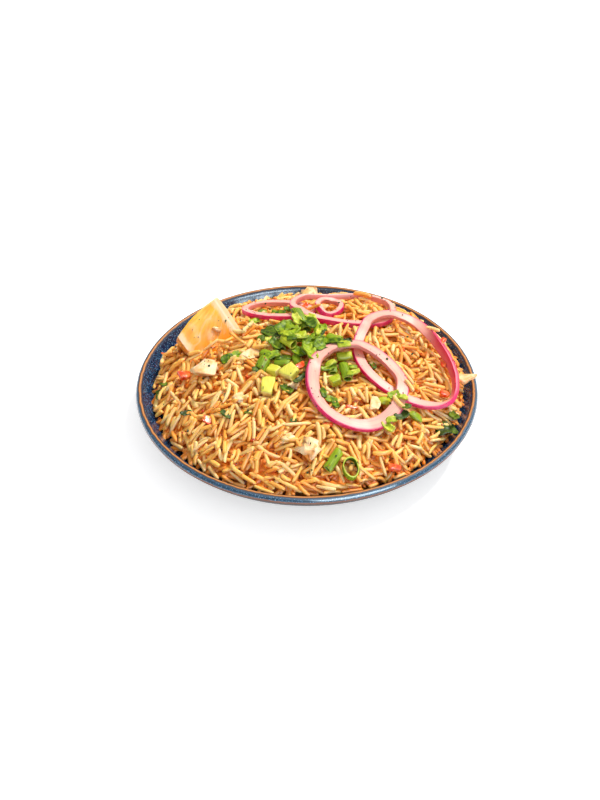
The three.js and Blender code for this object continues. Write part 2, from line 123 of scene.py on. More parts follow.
# %% The sky
SKY_LEFT = 0.48
SKY_RIGHT = 0.64
SKY_LOW = 0.35       # of the sky's light comes from near the horizon
DARK_CARD = 0.12     # of the sky's light is left low in front, for the back of the plate to mirror
FRONT_FILL = 3.0     # times the sky's light comes from higher up in front, as from a large soft box

world = bpy.data.worlds.new("studio")
bpy.context.scene.world = world
world.use_nodes = True
sky = world.node_tree.nodes
direction = sky.new("ShaderNodeTexCoord")
parts = sky.new("ShaderNodeSeparateXYZ")
world.node_tree.links.new(direction.outputs["Generated"], parts.inputs[0])


def sky_span(socket, start, end, low=0.0, high=1.0):
    """A value that goes from low to high while the socket's value goes from start to end."""
    node = sky.new("ShaderNodeMapRange")
    for name, number in zip(("From Min", "From Max", "To Min", "To Max"), (start, end, low, high)):
        node.inputs[name].default_value = number
    world.node_tree.links.new(socket, node.inputs["Value"])
    return node.outputs[0]


def sky_product(first, second):
    node = sky.new("ShaderNodeMath")
    node.operation = "MULTIPLY"
    world.node_tree.links.new(first, node.inputs[0])
    world.node_tree.links.new(second, node.inputs[1])
    return node.outputs[0]


across = sky_span(parts.outputs["X"], -1, 1, SKY_LEFT, SKY_RIGHT)
in_front = sky_span(parts.outputs["Y"], -0.25, -0.6)
low_down = sky_span(parts.outputs["Z"], 0.6, 0.45)
flagged = sky_span(sky_product(in_front, low_down), 0, 1, 1, DARK_CARD)
high_up = sky_span(parts.outputs["Z"], 0.5, 0.65)
filled = sky_span(sky_product(in_front, high_up), 0, 1, 1, FRONT_FILL)
dimmed = sky_span(parts.outputs["Z"], 0.3, 0.5, SKY_LOW, 1)
strength = sky_product(sky_product(across, dimmed), sky_product(flagged, filled))
world.node_tree.links.new(strength, sky["Background"].inputs["Strength"])
sky["Background"].inputs["Color"].default_value = (1, 1, 1, 1)

# %% The floor
FLOOR_HALF = 3.0
floor_mesh = bmesh.new()
bmesh.ops.create_grid(floor_mesh, x_segments=1, y_segments=1, size=FLOOR_HALF)
floor = bpy.data.objects.new("floor", bpy.data.meshes.new("floor"))
floor_mesh.to_mesh(floor.data)
floor_mesh.free()
paper = bpy.data.materials.new("white paper")
paper.use_nodes = True
paper.node_tree.nodes["Principled BSDF"].inputs["Base Color"].default_value = (0.86, 0.86, 0.87, 1)
paper.node_tree.nodes["Principled BSDF"].inputs["Roughness"].default_value = 0.9
paper.node_tree.nodes["Principled BSDF"].inputs["Emission Color"].default_value = (1, 1, 1, 1)
paper.node_tree.nodes["Principled BSDF"].inputs["Emission Strength"].default_value = 0.58
floor.data.materials.append(paper)
bpy.context.scene.collection.objects.link(floor)

# %% [markdown]
# ## Node groups that several finishes share
#
# Food is never one flat colour. Three effects come back all over this plate: soft patches where
# colour comes and goes, fine specks, and fibres that run along a leaf or round an onion.
# Each is a node group with named inputs, so that every finish can set its own scale.
# The groups only put out a value between 0 and 1, and the finish decides what that value does.


# %% A helper that starts a group with its sockets
def start_group(name, inputs, outputs):
    group = bpy.data.node_groups.new(name, "ShaderNodeTree")
    for socket_name, kind, value in inputs:
        socket = group.interface.new_socket(socket_name, in_out="INPUT", socket_type=kind)
        if value is not None:
            socket.default_value = value
    for socket_name in outputs:
        group.interface.new_socket(socket_name, in_out="OUTPUT", socket_type="NodeSocketFloat")
    return group, group.nodes.new("NodeGroupInput"), group.nodes.new("NodeGroupOutput")


# %% Soft patches
def make_patches():
    group, given, result = start_group("patches", [
        ("Vector", "NodeSocketVector", None),
        ("Scale", "NodeSocketFloat", 100.0),
        ("Detail", "NodeSocketFloat", 2.0),
        ("Low", "NodeSocketFloat", 0.4),
        ("High", "NodeSocketFloat", 0.6),
    ], ["Mask"])
    clouds = group.nodes.new("ShaderNodeTexNoise")
    spread = group.nodes.new("ShaderNodeMapRange")
    spread.interpolation_type = "SMOOTHSTEP"
    link = group.links.new
    link(given.outputs["Vector"], clouds.inputs["Vector"])
    link(given.outputs["Scale"], clouds.inputs["Scale"])
    link(given.outputs["Detail"], clouds.inputs["Detail"])
    link(clouds.outputs["Fac"], spread.inputs["Value"])
    link(given.outputs["Low"], spread.inputs["From Min"])
    link(given.outputs["High"], spread.inputs["From Max"])
    link(spread.outputs["Result"], result.inputs["Mask"])
    return group


PATCHES = make_patches()


# %% Fine specks
def make_specks():
    group, given, result = start_group("specks", [
        ("Vector", "NodeSocketVector", None),
        ("Scale", "NodeSocketFloat", 500.0),
        ("Size", "NodeSocketFloat", 0.25),
    ], ["Mask"])
    cells = group.nodes.new("ShaderNodeTexVoronoi")
    inside = group.nodes.new("ShaderNodeMapRange")
    inside.inputs["From Min"].default_value = 0.06
    inside.inputs["From Max"].default_value = 0.0
    beyond = group.nodes.new("ShaderNodeMath")
    beyond.operation = "SUBTRACT"
    link = group.links.new
    link(given.outputs["Vector"], cells.inputs["Vector"])
    link(given.outputs["Scale"], cells.inputs["Scale"])
    link(cells.outputs["Distance"], beyond.inputs[0])
    link(given.outputs["Size"], beyond.inputs[1])
    link(beyond.outputs[0], inside.inputs["Value"])
    link(inside.outputs["Result"], result.inputs["Mask"])
    return group


SPECKS = make_specks()


# %% Fibres: noise that is stretched along the first of two directions
def make_fibres():
    group, given, result = start_group("fibres", [
        ("Along", "NodeSocketFloat", 0.0),
        ("Around", "NodeSocketFloat", 0.0),
        ("Length", "NodeSocketFloat", 1.0),
        ("Count", "NodeSocketFloat", 20.0),
    ], ["Value"])
    slow = group.nodes.new("ShaderNodeMath")
    slow.operation = "MULTIPLY"
    fast = group.nodes.new("ShaderNodeMath")
    fast.operation = "MULTIPLY"
    plane = group.nodes.new("ShaderNodeCombineXYZ")
    strands = group.nodes.new("ShaderNodeTexNoise")
    strands.inputs["Scale"].default_value = 1.0
    strands.inputs["Detail"].default_value = 2.0
    link = group.links.new
    link(given.outputs["Along"], slow.inputs[0])
    link(given.outputs["Length"], slow.inputs[1])
    link(given.outputs["Around"], fast.inputs[0])
    link(given.outputs["Count"], fast.inputs[1])
    link(slow.outputs[0], plane.inputs["X"])
    link(fast.outputs[0], plane.inputs["Y"])
    link(plane.outputs[0], strands.inputs["Vector"])
    link(strands.outputs["Fac"], result.inputs["Value"])
    return group


FIBRES = make_fibres()
print("node groups:", [g.name for g in bpy.data.node_groups])


# %% A small workbench for finishes
class Finish:
    """A material, with short ways to add the nodes that this plate's finishes are made of."""

    def __init__(self, name, roughness, **sockets):
        self.material = bpy.data.materials.new(name)
        self.material.use_nodes = True
        self.nodes = self.material.node_tree.nodes
        self.link = self.material.node_tree.links.new
        self.shader = self.nodes["Principled BSDF"]
        self.shader.inputs["Roughness"].default_value = roughness
        for socket, value in sockets.items():
            self.shader.inputs[socket.replace("_", " ")].default_value = value
        self.place = self.nodes.new("ShaderNodeTexCoord").outputs["Object"]

    def set_input(self, socket, value):
        if isinstance(value, bpy.types.NodeSocket):
            self.link(value, socket)
        elif value is not None:
            socket.default_value = value

    def group(self, group, **inputs):
        node = self.nodes.new("ShaderNodeGroup")
        node.node_tree = group
        for name, value in inputs.items():
            self.set_input(node.inputs[name], value)
        return node.outputs[0]

    def attribute(self, name):
        node = self.nodes.new("ShaderNodeAttribute")
        node.attribute_name = name
        return node.outputs["Fac"]

    def math(self, operation, first, second=None, third=None):
        node = self.nodes.new("ShaderNodeMath")
        node.operation = operation
        for socket, value in zip(node.inputs, (first, second, third)):
            self.set_input(socket, value)
        return node.outputs[0]

    def ramp(self, factor, stops, smooth=False):
        node = self.nodes.new("ShaderNodeValToRGB")
        if smooth:
            node.color_ramp.interpolation = "EASE"
        elements = node.color_ramp.elements
        while len(elements) < len(stops):
            elements.new(0.5)
        for element, (position, colour) in zip(elements, stops):
            element.position = position
            element.color = colour
        self.link(factor, node.inputs["Fac"])
        return node.outputs["Color"]

    def mix(self, factor, first, second, blend="MIX"):
        node = self.nodes.new("ShaderNodeMix")
        node.data_type = "RGBA"
        node.blend_type = blend
        self.set_input(node.inputs["Factor"], factor)
        self.set_input(node.inputs[6], first)
        self.set_input(node.inputs[7], second)
        return node.outputs[2]

    def span(self, value, low, high, to_low=0.0, to_high=1.0):
        node = self.nodes.new("ShaderNodeMapRange")
        self.set_input(node.inputs["Value"], value)
        for name, number in zip(("From Min", "From Max", "To Min", "To Max"), (low, high, to_low, to_high)):
            node.inputs[name].default_value = number
        return node.outputs["Result"]

    def colour(self, value):
        self.set_input(self.shader.inputs["Base Color"], value)
        return self

    def bump(self, height, distance, strength=1.0):
        node = self.nodes.new("ShaderNodeBump")
        node.inputs["Distance"].default_value = distance
        node.inputs["Strength"].default_value = strength
        self.link(height, node.inputs["Height"])
        self.link(node.outputs["Normal"], self.shader.inputs["Normal"])
        return self


# %% From a bmesh to a piece of the object
def finish_piece(name, shape, finish, nodes=(), flat=False):
    """Make the shape a mesh object that rides on the plate's body and stands for the given nodes."""
    mesh = bpy.data.meshes.new(name)
    if isinstance(shape, bmesh.types.BMesh):
        shape.to_mesh(mesh)
        shape.free()
    else:
        mesh = shape
        mesh.name = name
    if not flat:
        mesh.polygons.foreach_set("use_smooth", [True] * len(mesh.polygons))
    mesh.materials.clear()
    mesh.materials.append(finish.material)
    piece = bpy.data.objects.new(name, mesh)
    bpy.context.scene.collection.objects.link(piece)
    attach(piece, "root")
    if nodes:
        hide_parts(*nodes)
    return piece


# %% [markdown]
# ## The plate
#
# A coupe plate has no flat rim: its wall curves up from the well to a rounded crest. Real plates are
# thrown or pressed on a wheel, so the modelling tool is the wheel too: half of the plate's section is
# drawn once and spun about the Z axis. Two quadratic curves make the inner and the outer wall.
# Each corner also remembers how far along the section it lies, measured from the crest, because the
# glaze breaks from blue to brown at fixed distances from the edge, whichever way the edge faces.

# %% The section of the plate
PLATE_LOW, PLATE_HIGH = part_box("plate")
PLATE_RADIUS = PLATE_HIGH.x
RIM_TOP = PLATE_HIGH.z
WELL_RADIUS = 66 * MM
WELL_FLOOR = 7 * MM
FOOT_INNER = 55 * MM
FOOT_OUTER = 62 * MM
FOOT_RECESS = 3 * MM
CREST = (PLATE_RADIUS - 2.4 * MM, RIM_TOP)
WALL_STEPS = 22
WHEEL_STEPS = 192


def curve(start, bend, end, steps):
    """Points of a quadratic curve, the last one included."""
    shares = np.linspace(0, 1, steps + 1)[:, None]
    start, bend, end = (np.array(p) for p in (start, bend, end))
    return (1 - shares) ** 2 * start + 2 * shares * (1 - shares) * bend + shares**2 * end


INNER_WALL = curve(
    (WELL_RADIUS, WELL_FLOOR), (92 * MM, WELL_FLOOR + 1 * MM),
    (PLATE_RADIUS - 4.2 * MM, RIM_TOP - 0.8 * MM), WALL_STEPS,
)
OUTER_WALL = curve(
    (PLATE_RADIUS - 2 * MM, RIM_TOP - 5.6 * MM), (94 * MM, 5 * MM),
    (FOOT_OUTER + 1 * MM, FOOT_RECESS - 0.5 * MM), WALL_STEPS,
)


def rim_roll():
    """The rounded edge from the inner wall's top over the crest to the outer wall's top."""
    over = curve(INNER_WALL[-1], (PLATE_RADIUS - 3.2 * MM, RIM_TOP + 0.1 * MM), CREST, 4)[1:]
    down = curve(CREST, (PLATE_RADIUS - 0.6 * MM, RIM_TOP), (PLATE_RADIUS, RIM_TOP - 2.4 * MM), 5)[1:]
    under = curve(down[-1], (PLATE_RADIUS, RIM_TOP - 4.0 * MM), OUTER_WALL[0], 4)[1:]
    return np.concatenate([over, down, under])


def plate_section():
    well = np.array([(r, WELL_FLOOR) for r in np.linspace(0, WELL_RADIUS, 12)])
    foot = np.array([
        (FOOT_OUTER, 0.3 * MM), (FOOT_OUTER - 0.4 * MM, 0), (FOOT_INNER + 1.4 * MM, 0),
        (FOOT_INNER + 1 * MM, 0.3 * MM), (FOOT_INNER, FOOT_RECESS), (30 * MM, FOOT_RECESS), (0, FOOT_RECESS),
    ])
    return np.concatenate([well, INNER_WALL[1:], rim_roll(), OUTER_WALL[1:], foot])


# %% Spin the plate
def throw_plate():
    section = plate_section()
    steps = np.linalg.norm(np.diff(section, axis=0), axis=1)
    travelled = np.concatenate([[0], np.cumsum(steps)])
    crest = travelled[np.argmax(section[:, 1])]
    shape = bmesh.new()
    from_crest = shape.verts.layers.float.new("from_crest")
    line = []
    for (radius, height), travel in zip(section, travelled):
        corner = shape.verts.new((radius, 0, height))
        corner[from_crest] = (travel - crest) / MM
        line.append(corner)
    edges = [shape.edges.new(pair) for pair in zip(line, line[1:])]
    bmesh.ops.spin(
        shape, geom=line + edges, axis=(0, 0, 1), cent=(0, 0, 0),
        angle=2 * math.pi, steps=WHEEL_STEPS, use_merge=True,
    )
    bmesh.ops.remove_doubles(shape, verts=shape.verts, dist=0.01 * MM)
    bmesh.ops.recalc_face_normals(shape, faces=shape.faces)
    return shape


# %% [markdown]
# The glaze is a dark blue that breaks: where it runs thin over an edge, the iron in it turns brown.
# So the finish reads the distance from the crest, wobbles it a little with noise, and looks the colour
# up on a ramp. Pale blue specks float in the dark blue. Outside, below the roll, the glaze is thin and
# its colour is a mauve grey.

# %% The reactive glaze
BAND_SPAN = 12.0    # millimetres to either side of the crest that the ramp covers


def band(distance):
    """Place on the ramp of a distance from the crest in millimetres, negative inside the plate."""
    return (distance + BAND_SPAN) / (2 * BAND_SPAN)


glaze = Finish("reactive glaze", 0.2, Coat_Roughness=0.12)
wobble = glaze.group(PATCHES, Vector=glaze.place, Scale=220.0, Detail=3.0, Low=0.3, High=0.7)
shifted = glaze.math("ADD", glaze.attribute("from_crest"), glaze.span(wobble, 0, 1, -0.2, 0.2))
edge_colours = glaze.ramp(glaze.span(shifted, -BAND_SPAN, BAND_SPAN), [
    (band(-1.8), paint(8, 38, 72)),
    (band(-1.4), paint(48, 24, 10)),
    (band(-1.0), paint(110, 60, 22)),
    (band(-0.5), paint(206, 136, 66)),
    (band(-0.1), paint(190, 120, 54)),
    (band(0.4), paint(70, 38, 16)),
    (band(1.0), paint(50, 80, 104)),
    (band(3.3), paint(46, 74, 98)),
    (band(3.7), paint(140, 76, 30)),
    (band(4.8), paint(78, 50, 38)),
    (band(6.0), paint(54, 50, 52)),
])
specks = glaze.group(SPECKS, Vector=glaze.place, Scale=1000.0, Size=0.26)
thin = glaze.group(PATCHES, Vector=glaze.place, Scale=420.0, Detail=4.0, Low=0.45, High=0.75)
blue_only = glaze.ramp(glaze.span(shifted, -BAND_SPAN, BAND_SPAN), [
    (band(-2.3), (1, 1, 1, 1)),
    (band(-1.8), (0, 0, 0, 1)),
    (band(0.9), (0, 0, 0, 1)),
    (band(1.4), (1, 1, 1, 1)),
    (band(3.1), (1, 1, 1, 1)),
    (band(3.5), (0.1, 0.1, 0.1, 1)),
])
speckled = glaze.mix(glaze.math("MULTIPLY", specks, blue_only), edge_colours, paint(100, 146, 184))
clouded = glaze.mix(glaze.math("MULTIPLY", thin, 0.45), speckled, paint(52, 98, 138))
glaze.colour(glaze.mix(blue_only, speckled, clouded))
outside = glaze.span(shifted, 3.2, 4.4)
on_crest = glaze.span(glaze.math("ABSOLUTE", glaze.math("ADD", shifted, 0.6)), 2.2, 1.4)
thinned = glaze.math("MAXIMUM", outside, on_crest)
glaze.set_input(glaze.shader.inputs["Coat Weight"], glaze.span(thinned, 0, 1, 0.4, 0.0))
glaze.set_input(glaze.shader.inputs["Roughness"], glaze.span(thinned, 0, 1, 0.2, 0.55))
glaze.bump(wobble, 0.1 * MM, 0.3)

plate = finish_piece("plate_glazed", throw_plate(), glaze, ["plate"])
print("plate:", len(plate.data.polygons), "faces")

# %% [markdown]
# ## The ground that the rice lies on
#
# Loose grains need to know how high the ground is under them. A grid of heights is enough for that,
# half a millimetre a cell. Rays cast down on the frame's heap fill it, and beside the heap the plate's
# section gives the floor. A second grid holds the ceiling: rays cast up find the underside of the lemon
# and of every topping, so that no grain pokes through them.

# %% The grid
CELL = 0.5 * MM
HALF = 108 * MM
ACROSS = round(2 * HALF / CELL)
MIDDLES = (np.arange(ACROSS) + 0.5) * CELL - HALF
GRID_X, GRID_Y = np.meshgrid(MIDDLES, MIDDLES, indexing="ij")
GRID_RADIUS = np.hypot(GRID_X, GRID_Y)


def cells_of(low, high):
    """The range of cells between two places along one axis."""
    first = max(int((low + HALF) / CELL) - 1, 0)
    last = min(int((high + HALF) / CELL) + 2, ACROSS)
    return range(first, last)


def scan(node, upwards):
    """Heights where rays from above, or from below, first meet a node; NaN beside it."""
    corners = [v.co for v in NODES[node].data.vertices]
    faces = [tuple(p.vertices) for p in NODES[node].data.polygons]
    tree = BVHTree.FromPolygons(corners, faces)
    low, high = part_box(node)
    start, way = (low.z - MM, Vector((0, 0, 1))) if upwards else (high.z + MM, Vector((0, 0, -1)))
    heights = np.full((ACROSS, ACROSS), np.nan)
    for i in cells_of(low.x, high.x):
        for j in cells_of(low.y, high.y):
            hit = tree.ray_cast(Vector((MIDDLES[i], MIDDLES[j], start)), way)[0]
            if hit is not None:
                heights[i, j] = hit.z
    return heights


PLATE_FLOOR = np.interp(GRID_RADIUS, INNER_WALL[:, 0], INNER_WALL[:, 1])
HEAP_TOP = scan("rice_heap", upwards=False)
print("heap covers", round(np.isfinite(HEAP_TOP).sum() * (CELL * 100) ** 2), "cm2")

# %% The ceiling under lemon and toppings
TOPPINGS = [n for n in NODES if n not in ("plate", "rice_heap")]
UNDERSIDE = np.full((ACROSS, ACROSS), np.inf)
TOPSIDE = np.full((ACROSS, ACROSS), -np.inf)
for node in TOPPINGS:
    UNDERSIDE = np.fmin(UNDERSIDE, scan(node, upwards=True))
    TOPSIDE = np.fmax(TOPSIDE, scan(node, upwards=False))
print("toppings shade", round(np.isfinite(UNDERSIDE).sum() * (CELL * 100) ** 2), "cm2")

# %% The heap's outline, as a radius for each direction
OUTLINE_TURNS = 360
GRID_ANGLE = np.arctan2(GRID_Y, GRID_X)
ANGLES = (np.arange(OUTLINE_TURNS) + 0.5) / OUTLINE_TURNS * 2 * math.pi - math.pi
sector = np.floor((GRID_ANGLE + math.pi) / (2 * math.pi) * OUTLINE_TURNS).astype(int) % OUTLINE_TURNS
OUTLINE = np.zeros(OUTLINE_TURNS)
np.maximum.at(OUTLINE, sector, np.where(np.isfinite(HEAP_TOP), GRID_RADIUS, 0))


def outline(angle):
    return np.interp(angle, ANGLES, OUTLINE, period=2 * math.pi)


BEYOND = GRID_RADIUS - outline(GRID_ANGLE)
print("outline radius from", round(OUTLINE.min() / MM, 1), "to", round(OUTLINE.max() / MM, 1), "mm")

# %% [markdown]
# ## The core of the heap
#
# Nobody sees the middle of the heap, so it is one solid a few grains below the surface. Its top is
# lumpy, as packed rice is, because it shows in the gaps between the grains. It starts as a flat
# closed line that is spun into a disc with two sides. Then every corner of the upper side moves to
# the height of the ground, and every corner of the lower side to the plate.

# %% The core's shape
CORE_DEPTH = 6.2 * MM
CORE_INSET = 5.5 * MM
CORE_RELIEF = 1.0 * MM
CORE_RINGS = 64
CORE_TURNS = 224
GAP = 0.35 * MM


def at_cell(grid, x, y):
    """The grid's value under a place."""
    i = min(max(int((x + HALF) / CELL), 0), ACROSS - 1)
    j = min(max(int((y + HALF) / CELL), 0), ACROSS - 1)
    return grid[i, j]


def lumps(place):
    """Lumps as large as a grain, from 0 to 1."""
    stretched = Vector((place.x * 260, place.y * 340, 0))
    return 0.5 + 0.5 * noise.noise(stretched + 0.8 * noise.noise_vector(stretched * 0.5))


GROUND = np.where(np.isfinite(HEAP_TOP), HEAP_TOP, PLATE_FLOOR + 6 * MM)
CORE_LIMIT = np.minimum(GROUND - CORE_DEPTH, UNDERSIDE - 0.8 * MM)


def spin_core():
    shape = bmesh.new()
    top = [shape.verts.new((share, 0, 1)) for share in np.linspace(0, 1, CORE_RINGS)]
    bottom = [shape.verts.new((share, 0, 0)) for share in np.linspace(1, 0, 12)]
    line = top + bottom
    edges = [shape.edges.new(pair) for pair in zip(line, line[1:])]
    bmesh.ops.spin(
        shape, geom=line + edges, axis=(0, 0, 1), cent=(0, 0, 0),
        angle=2 * math.pi, steps=CORE_TURNS, use_merge=True,
    )
    bmesh.ops.remove_doubles(shape, verts=shape.verts, dist=1e-5)
    for corner in shape.verts:
        angle = math.atan2(corner.co.y, corner.co.x)
        reach = float(outline(angle)) - CORE_INSET
        place = Vector((corner.co.x * reach, corner.co.y * reach, 0))
        base = float(np.interp(place.length, INNER_WALL[:, 0], INNER_WALL[:, 1])) + GAP
        if corner.co.z > 0.5:
            limit = at_cell(CORE_LIMIT, place.x, place.y)
            place.z = max(limit - CORE_RELIEF * lumps(place), base + 0.5 * MM)
        else:
            place.z = base
        corner.co = place
    bmesh.ops.recalc_face_normals(shape, faces=shape.faces)
    return shape


# %% The core's finish: rice stained by sauce, darkened as painted shade where it shows between grains
rice_core = Finish("rice core in sauce and painted shade", 0.5, Subsurface_Weight=0.15, Subsurface_Scale=1.5 * MM)
rice_core.shader.inputs["Subsurface Radius"].default_value = (1.0, 0.4, 0.15)
core_stain_and_shade = rice_core.group(PATCHES, Vector=rice_core.place, Scale=180.0, Detail=4.0, Low=0.35, High=0.65)
# The core's dark, saturated oranges are painted shade of the gaps between grains, over a sauce stain.
rice_core.colour(rice_core.ramp(core_stain_and_shade, [(0.0, paint(170, 80, 0)), (1.0, paint(228, 130, 12))]))
kernels = rice_core.group(PATCHES, Vector=rice_core.place, Scale=520.0, Detail=3.0, Low=0.3, High=0.7)
rice_core.bump(kernels, 0.5 * MM, 0.7)
core = finish_piece("rice_core", spin_core(), rice_core, ["rice_heap"])
print("core:", len(core.data.polygons), "faces")

# %% [markdown]
# ## Grains of rice
#
# One cooked grain is a plump, slightly bent rod with rounded ends, a little slimmer at one of them.
# It is repeated thousands of times, so it has only a few dozen faces: a sphere of six sides and eight
# rows, stretched, squared off towards its ends and bent. The kinds are straight, bent and curled
# grains, slim ones, and broad ones that have split.

# %% Grain prototypes
GRAIN_SIDES = 6
GRAIN_ROWS = 8
END_ROWS = 0.5    # below 1, the rows of faces crowd together at the ends, where the grain is round


def model_grain(bend, flatten, bluntness, taper, split=0.0):
    """A grain of length 1 and width 1: the copies scale it. Returns its corners, faces and bend."""
    shape = bmesh.new()
    bmesh.ops.create_uvsphere(shape, u_segments=GRAIN_SIDES, v_segments=GRAIN_ROWS, radius=0.5)
    bmesh.ops.rotate(shape, verts=shape.verts, matrix=Matrix.Rotation(math.pi / 2, 3, "Y"))
    shape.verts.index_update()
    for corner in shape.verts:
        x, y, z = corner.co
        swell = math.hypot(y, z) * 2
        share = min(abs(2 * x), 1) ** END_ROWS
        wanted = (1 - share**bluntness) ** 0.5 if share < 0.9999 else 0.0
        scale = wanted * (1 - taper * x) / swell if swell > 1e-6 else 0.0
        notch = 1 - split * math.exp(-((y * 6) ** 2)) * (z > 0)
        corner.co = (math.copysign(share / 2, x), y * scale, z * scale * flatten * notch)
    corners = np.array([v.co for v in shape.verts])
    faces = [[v.index for v in f.verts] for f in shape.faces]
    shape.free()
    return corners, faces, bend


GRAIN_KINDS = {
    "rice_straight": [model_grain(0.03, 0.86, 9, 0.2), model_grain(-0.05, 0.9, 7, 0.4)],
    "rice_bent": [model_grain(0.13, 0.85, 8, 0.25), model_grain(-0.17, 0.9, 10, 0.1)],
    "rice_curled": [model_grain(0.26, 0.85, 8, 0.3), model_grain(-0.34, 0.85, 6, 0.3)],
    "rice_slim": [model_grain(0.09, 0.9, 5, 0.4), model_grain(-0.07, 0.9, 6, 0.5)],
    "rice_broad": [model_grain(0.05, 0.75, 8, 0.2, 0.3), model_grain(-0.08, 0.7, 9, 0.1, 0.35)],
}
KIND_NAMES = list(GRAIN_KINDS)
CURLED = KIND_NAMES.index("rice_curled")
KIND_SHARES = (0.26, 0.26, 0.14, 0.22, 0.12)
KIND_WIDTHS = (1.0, 1.0, 0.95, 0.86, 1.16)
print("faces of one grain:", len(GRAIN_KINDS["rice_straight"][0][1]))

# %% [markdown]
# The grains are laid one after another, as if they were poured. Each one drops at the emptiest of
# some random places and comes to rest on two points, one at either side of its middle. That line is
# found from the heights under it. Where its back would rise over the ceiling, it is turned and tried
# again, and in the end left out. Then it raises the ground by its own shape, for the next ones.
# A bed of grains comes first. They are pressed into one another, as deep in a heap, and hide the core.
# Then a few places are compared for each grain, so that the heap grows evenly, and in the end very
# many, so that the last grains fill the last holes.
# The random numbers come from one seeded source, so the heap is the same each time.

# %% How high the loose rice may rise
rng = np.random.default_rng(7)


def slow_noise(scale, seed):
    """Smooth noise over the grid, about -1 to 1."""
    wave = np.zeros_like(GRID_X)
    source = np.random.default_rng(seed)
    for _ in range(24):
        heading, phase = source.uniform(0, 2 * math.pi, 2)
        pitch = 2 * math.pi / (scale * source.uniform(0.7, 1.5))
        wave += np.sin((GRID_X * math.cos(heading) + GRID_Y * math.sin(heading)) * pitch + phase)
    return wave / math.sqrt(12)


PROUD = 1.7 * MM
UNEVEN = 1.3 * MM
OVERHANG = 2.4 * MM
HEAP_EDGE = 6.5 * MM
EDGE_WIDTH = 14 * MM    # within this, the loose rice thins out towards the edge
edge_top = np.interp(outline(GRID_ANGLE), INNER_WALL[:, 0], INNER_WALL[:, 1]) + HEAP_EDGE
inwards = np.clip(-BEYOND / EDGE_WIDTH, 0.1, 1)
in_reach = np.clip(1 - BEYOND / OVERHANG, 0, 1)
fallen = np.minimum(PLATE_FLOOR + 5 * MM * in_reach, edge_top - MM - 1.5 * BEYOND)
OPEN_CEILING = np.where(BEYOND <= 0, GROUND - 0.8 * MM * np.clip(1 + BEYOND / (4 * MM), 0, 1), fallen)
OPEN_CEILING -= 4.4 * MM * np.clip(1 + BEYOND / (11 * MM), 0, 1) * np.clip(GRID_Y / (60 * MM), 0, 1)
OPEN_CEILING = OPEN_CEILING + (PROUD + UNEVEN * slow_noise(15 * MM, 3)) * inwards
HARD_CEILING = UNDERSIDE - 0.1 * MM
CEILING = np.minimum(OPEN_CEILING, HARD_CEILING)


# %% Let one grain settle
STATIONS = np.linspace(-0.5, 0.5, 9)
STEEPEST = 0.9


class Bed:
    """The ground, which grows as grains are laid on it."""

    def __init__(self, heights):
        self.heights = heights

    def under(self, x, y):
        i = np.clip(((x + HALF) / CELL).astype(int), 0, ACROSS - 1)
        j = np.clip(((y + HALF) / CELL).astype(int), 0, ACROSS - 1)
        return self.heights[i, j]

    def settle(self, x, y, heading, length, width):
        """Height of the grain's middle and its slope, where it rests on two supports."""
        along = STATIONS * length
        thick = 0.43 * width * np.sqrt(1 - (2 * STATIONS) ** 2 * 0.9)
        c, s = math.cos(heading), math.sin(heading)
        rows = [self.under(x + along * c - a * s, y + along * s + a * c) for a in (-0.3 * width, 0, 0.3 * width)]
        need = np.max(rows, axis=0) + thick
        left, right = along < -1e-9, along > 1e-9
        sl, sr = along[left][:, None], along[right][None, :]
        nl, nr = need[left][:, None], need[right][None, :]
        middle = (nl * sr - nr * sl) / (sr - sl)
        best = np.unravel_index(np.argmax(middle), middle.shape)
        slope = ((nr - nl) / (sr - sl))[best]
        height = max(middle[best], need[len(need) // 2])
        return height, float(np.clip(slope, -STEEPEST, STEEPEST))

    def footprint(self, x, y, heading, length, width, height, slope):
        """The patch of cells that the grain covers, and the height of its back over them."""
        reach = length / 2 + CELL
        i0, i1 = int((x - reach + HALF) / CELL), int((x + reach + HALF) / CELL) + 1
        j0, j1 = int((y - reach + HALF) / CELL), int((y + reach + HALF) / CELL) + 1
        i0, j0 = max(i0, 0), max(j0, 0)
        patch = (slice(i0, min(i1, ACROSS)), slice(j0, min(j1, ACROSS)))
        dx, dy = GRID_X[patch] - x, GRID_Y[patch] - y
        c, s = math.cos(heading), math.sin(heading)
        flat = math.sqrt(1 + slope * slope)
        along = (dx * c + dy * s) * 2 * flat / length
        aside = (dy * c - dx * s) * 2 / width
        body = 1 - along**2 - aside**2
        back = np.where(body > 0, height + along * length / 2 / flat * slope, -np.inf)
        return patch, back + 0.43 * width * np.sqrt(np.maximum(body, 0))


# %% Choose a grain at random
def pick_grain():
    """Length, width, kind, model and tint of a grain."""
    kind = int(rng.choice(len(KIND_NAMES), p=KIND_SHARES))
    length = float(np.clip(rng.normal(12.2, 3.0), 6, 19.5)) * MM
    width = rng.uniform(2.3, 3.15) * MM * KIND_WIDTHS[kind]
    return length, width, kind, int(rng.integers(2)), rng.random()


def random_places(count):
    radius = HALF * 0.94 * np.sqrt(rng.random(count))
    turn = rng.uniform(-math.pi, math.pi, count)
    return radius * np.cos(turn), radius * np.sin(turn)


def cell_of(x, y):
    return ((x + HALF) / CELL).astype(int), ((y + HALF) / CELL).astype(int)


# %% Spread the bed
BEDDED = 3200
BED_DEPTH = 5.0 * MM


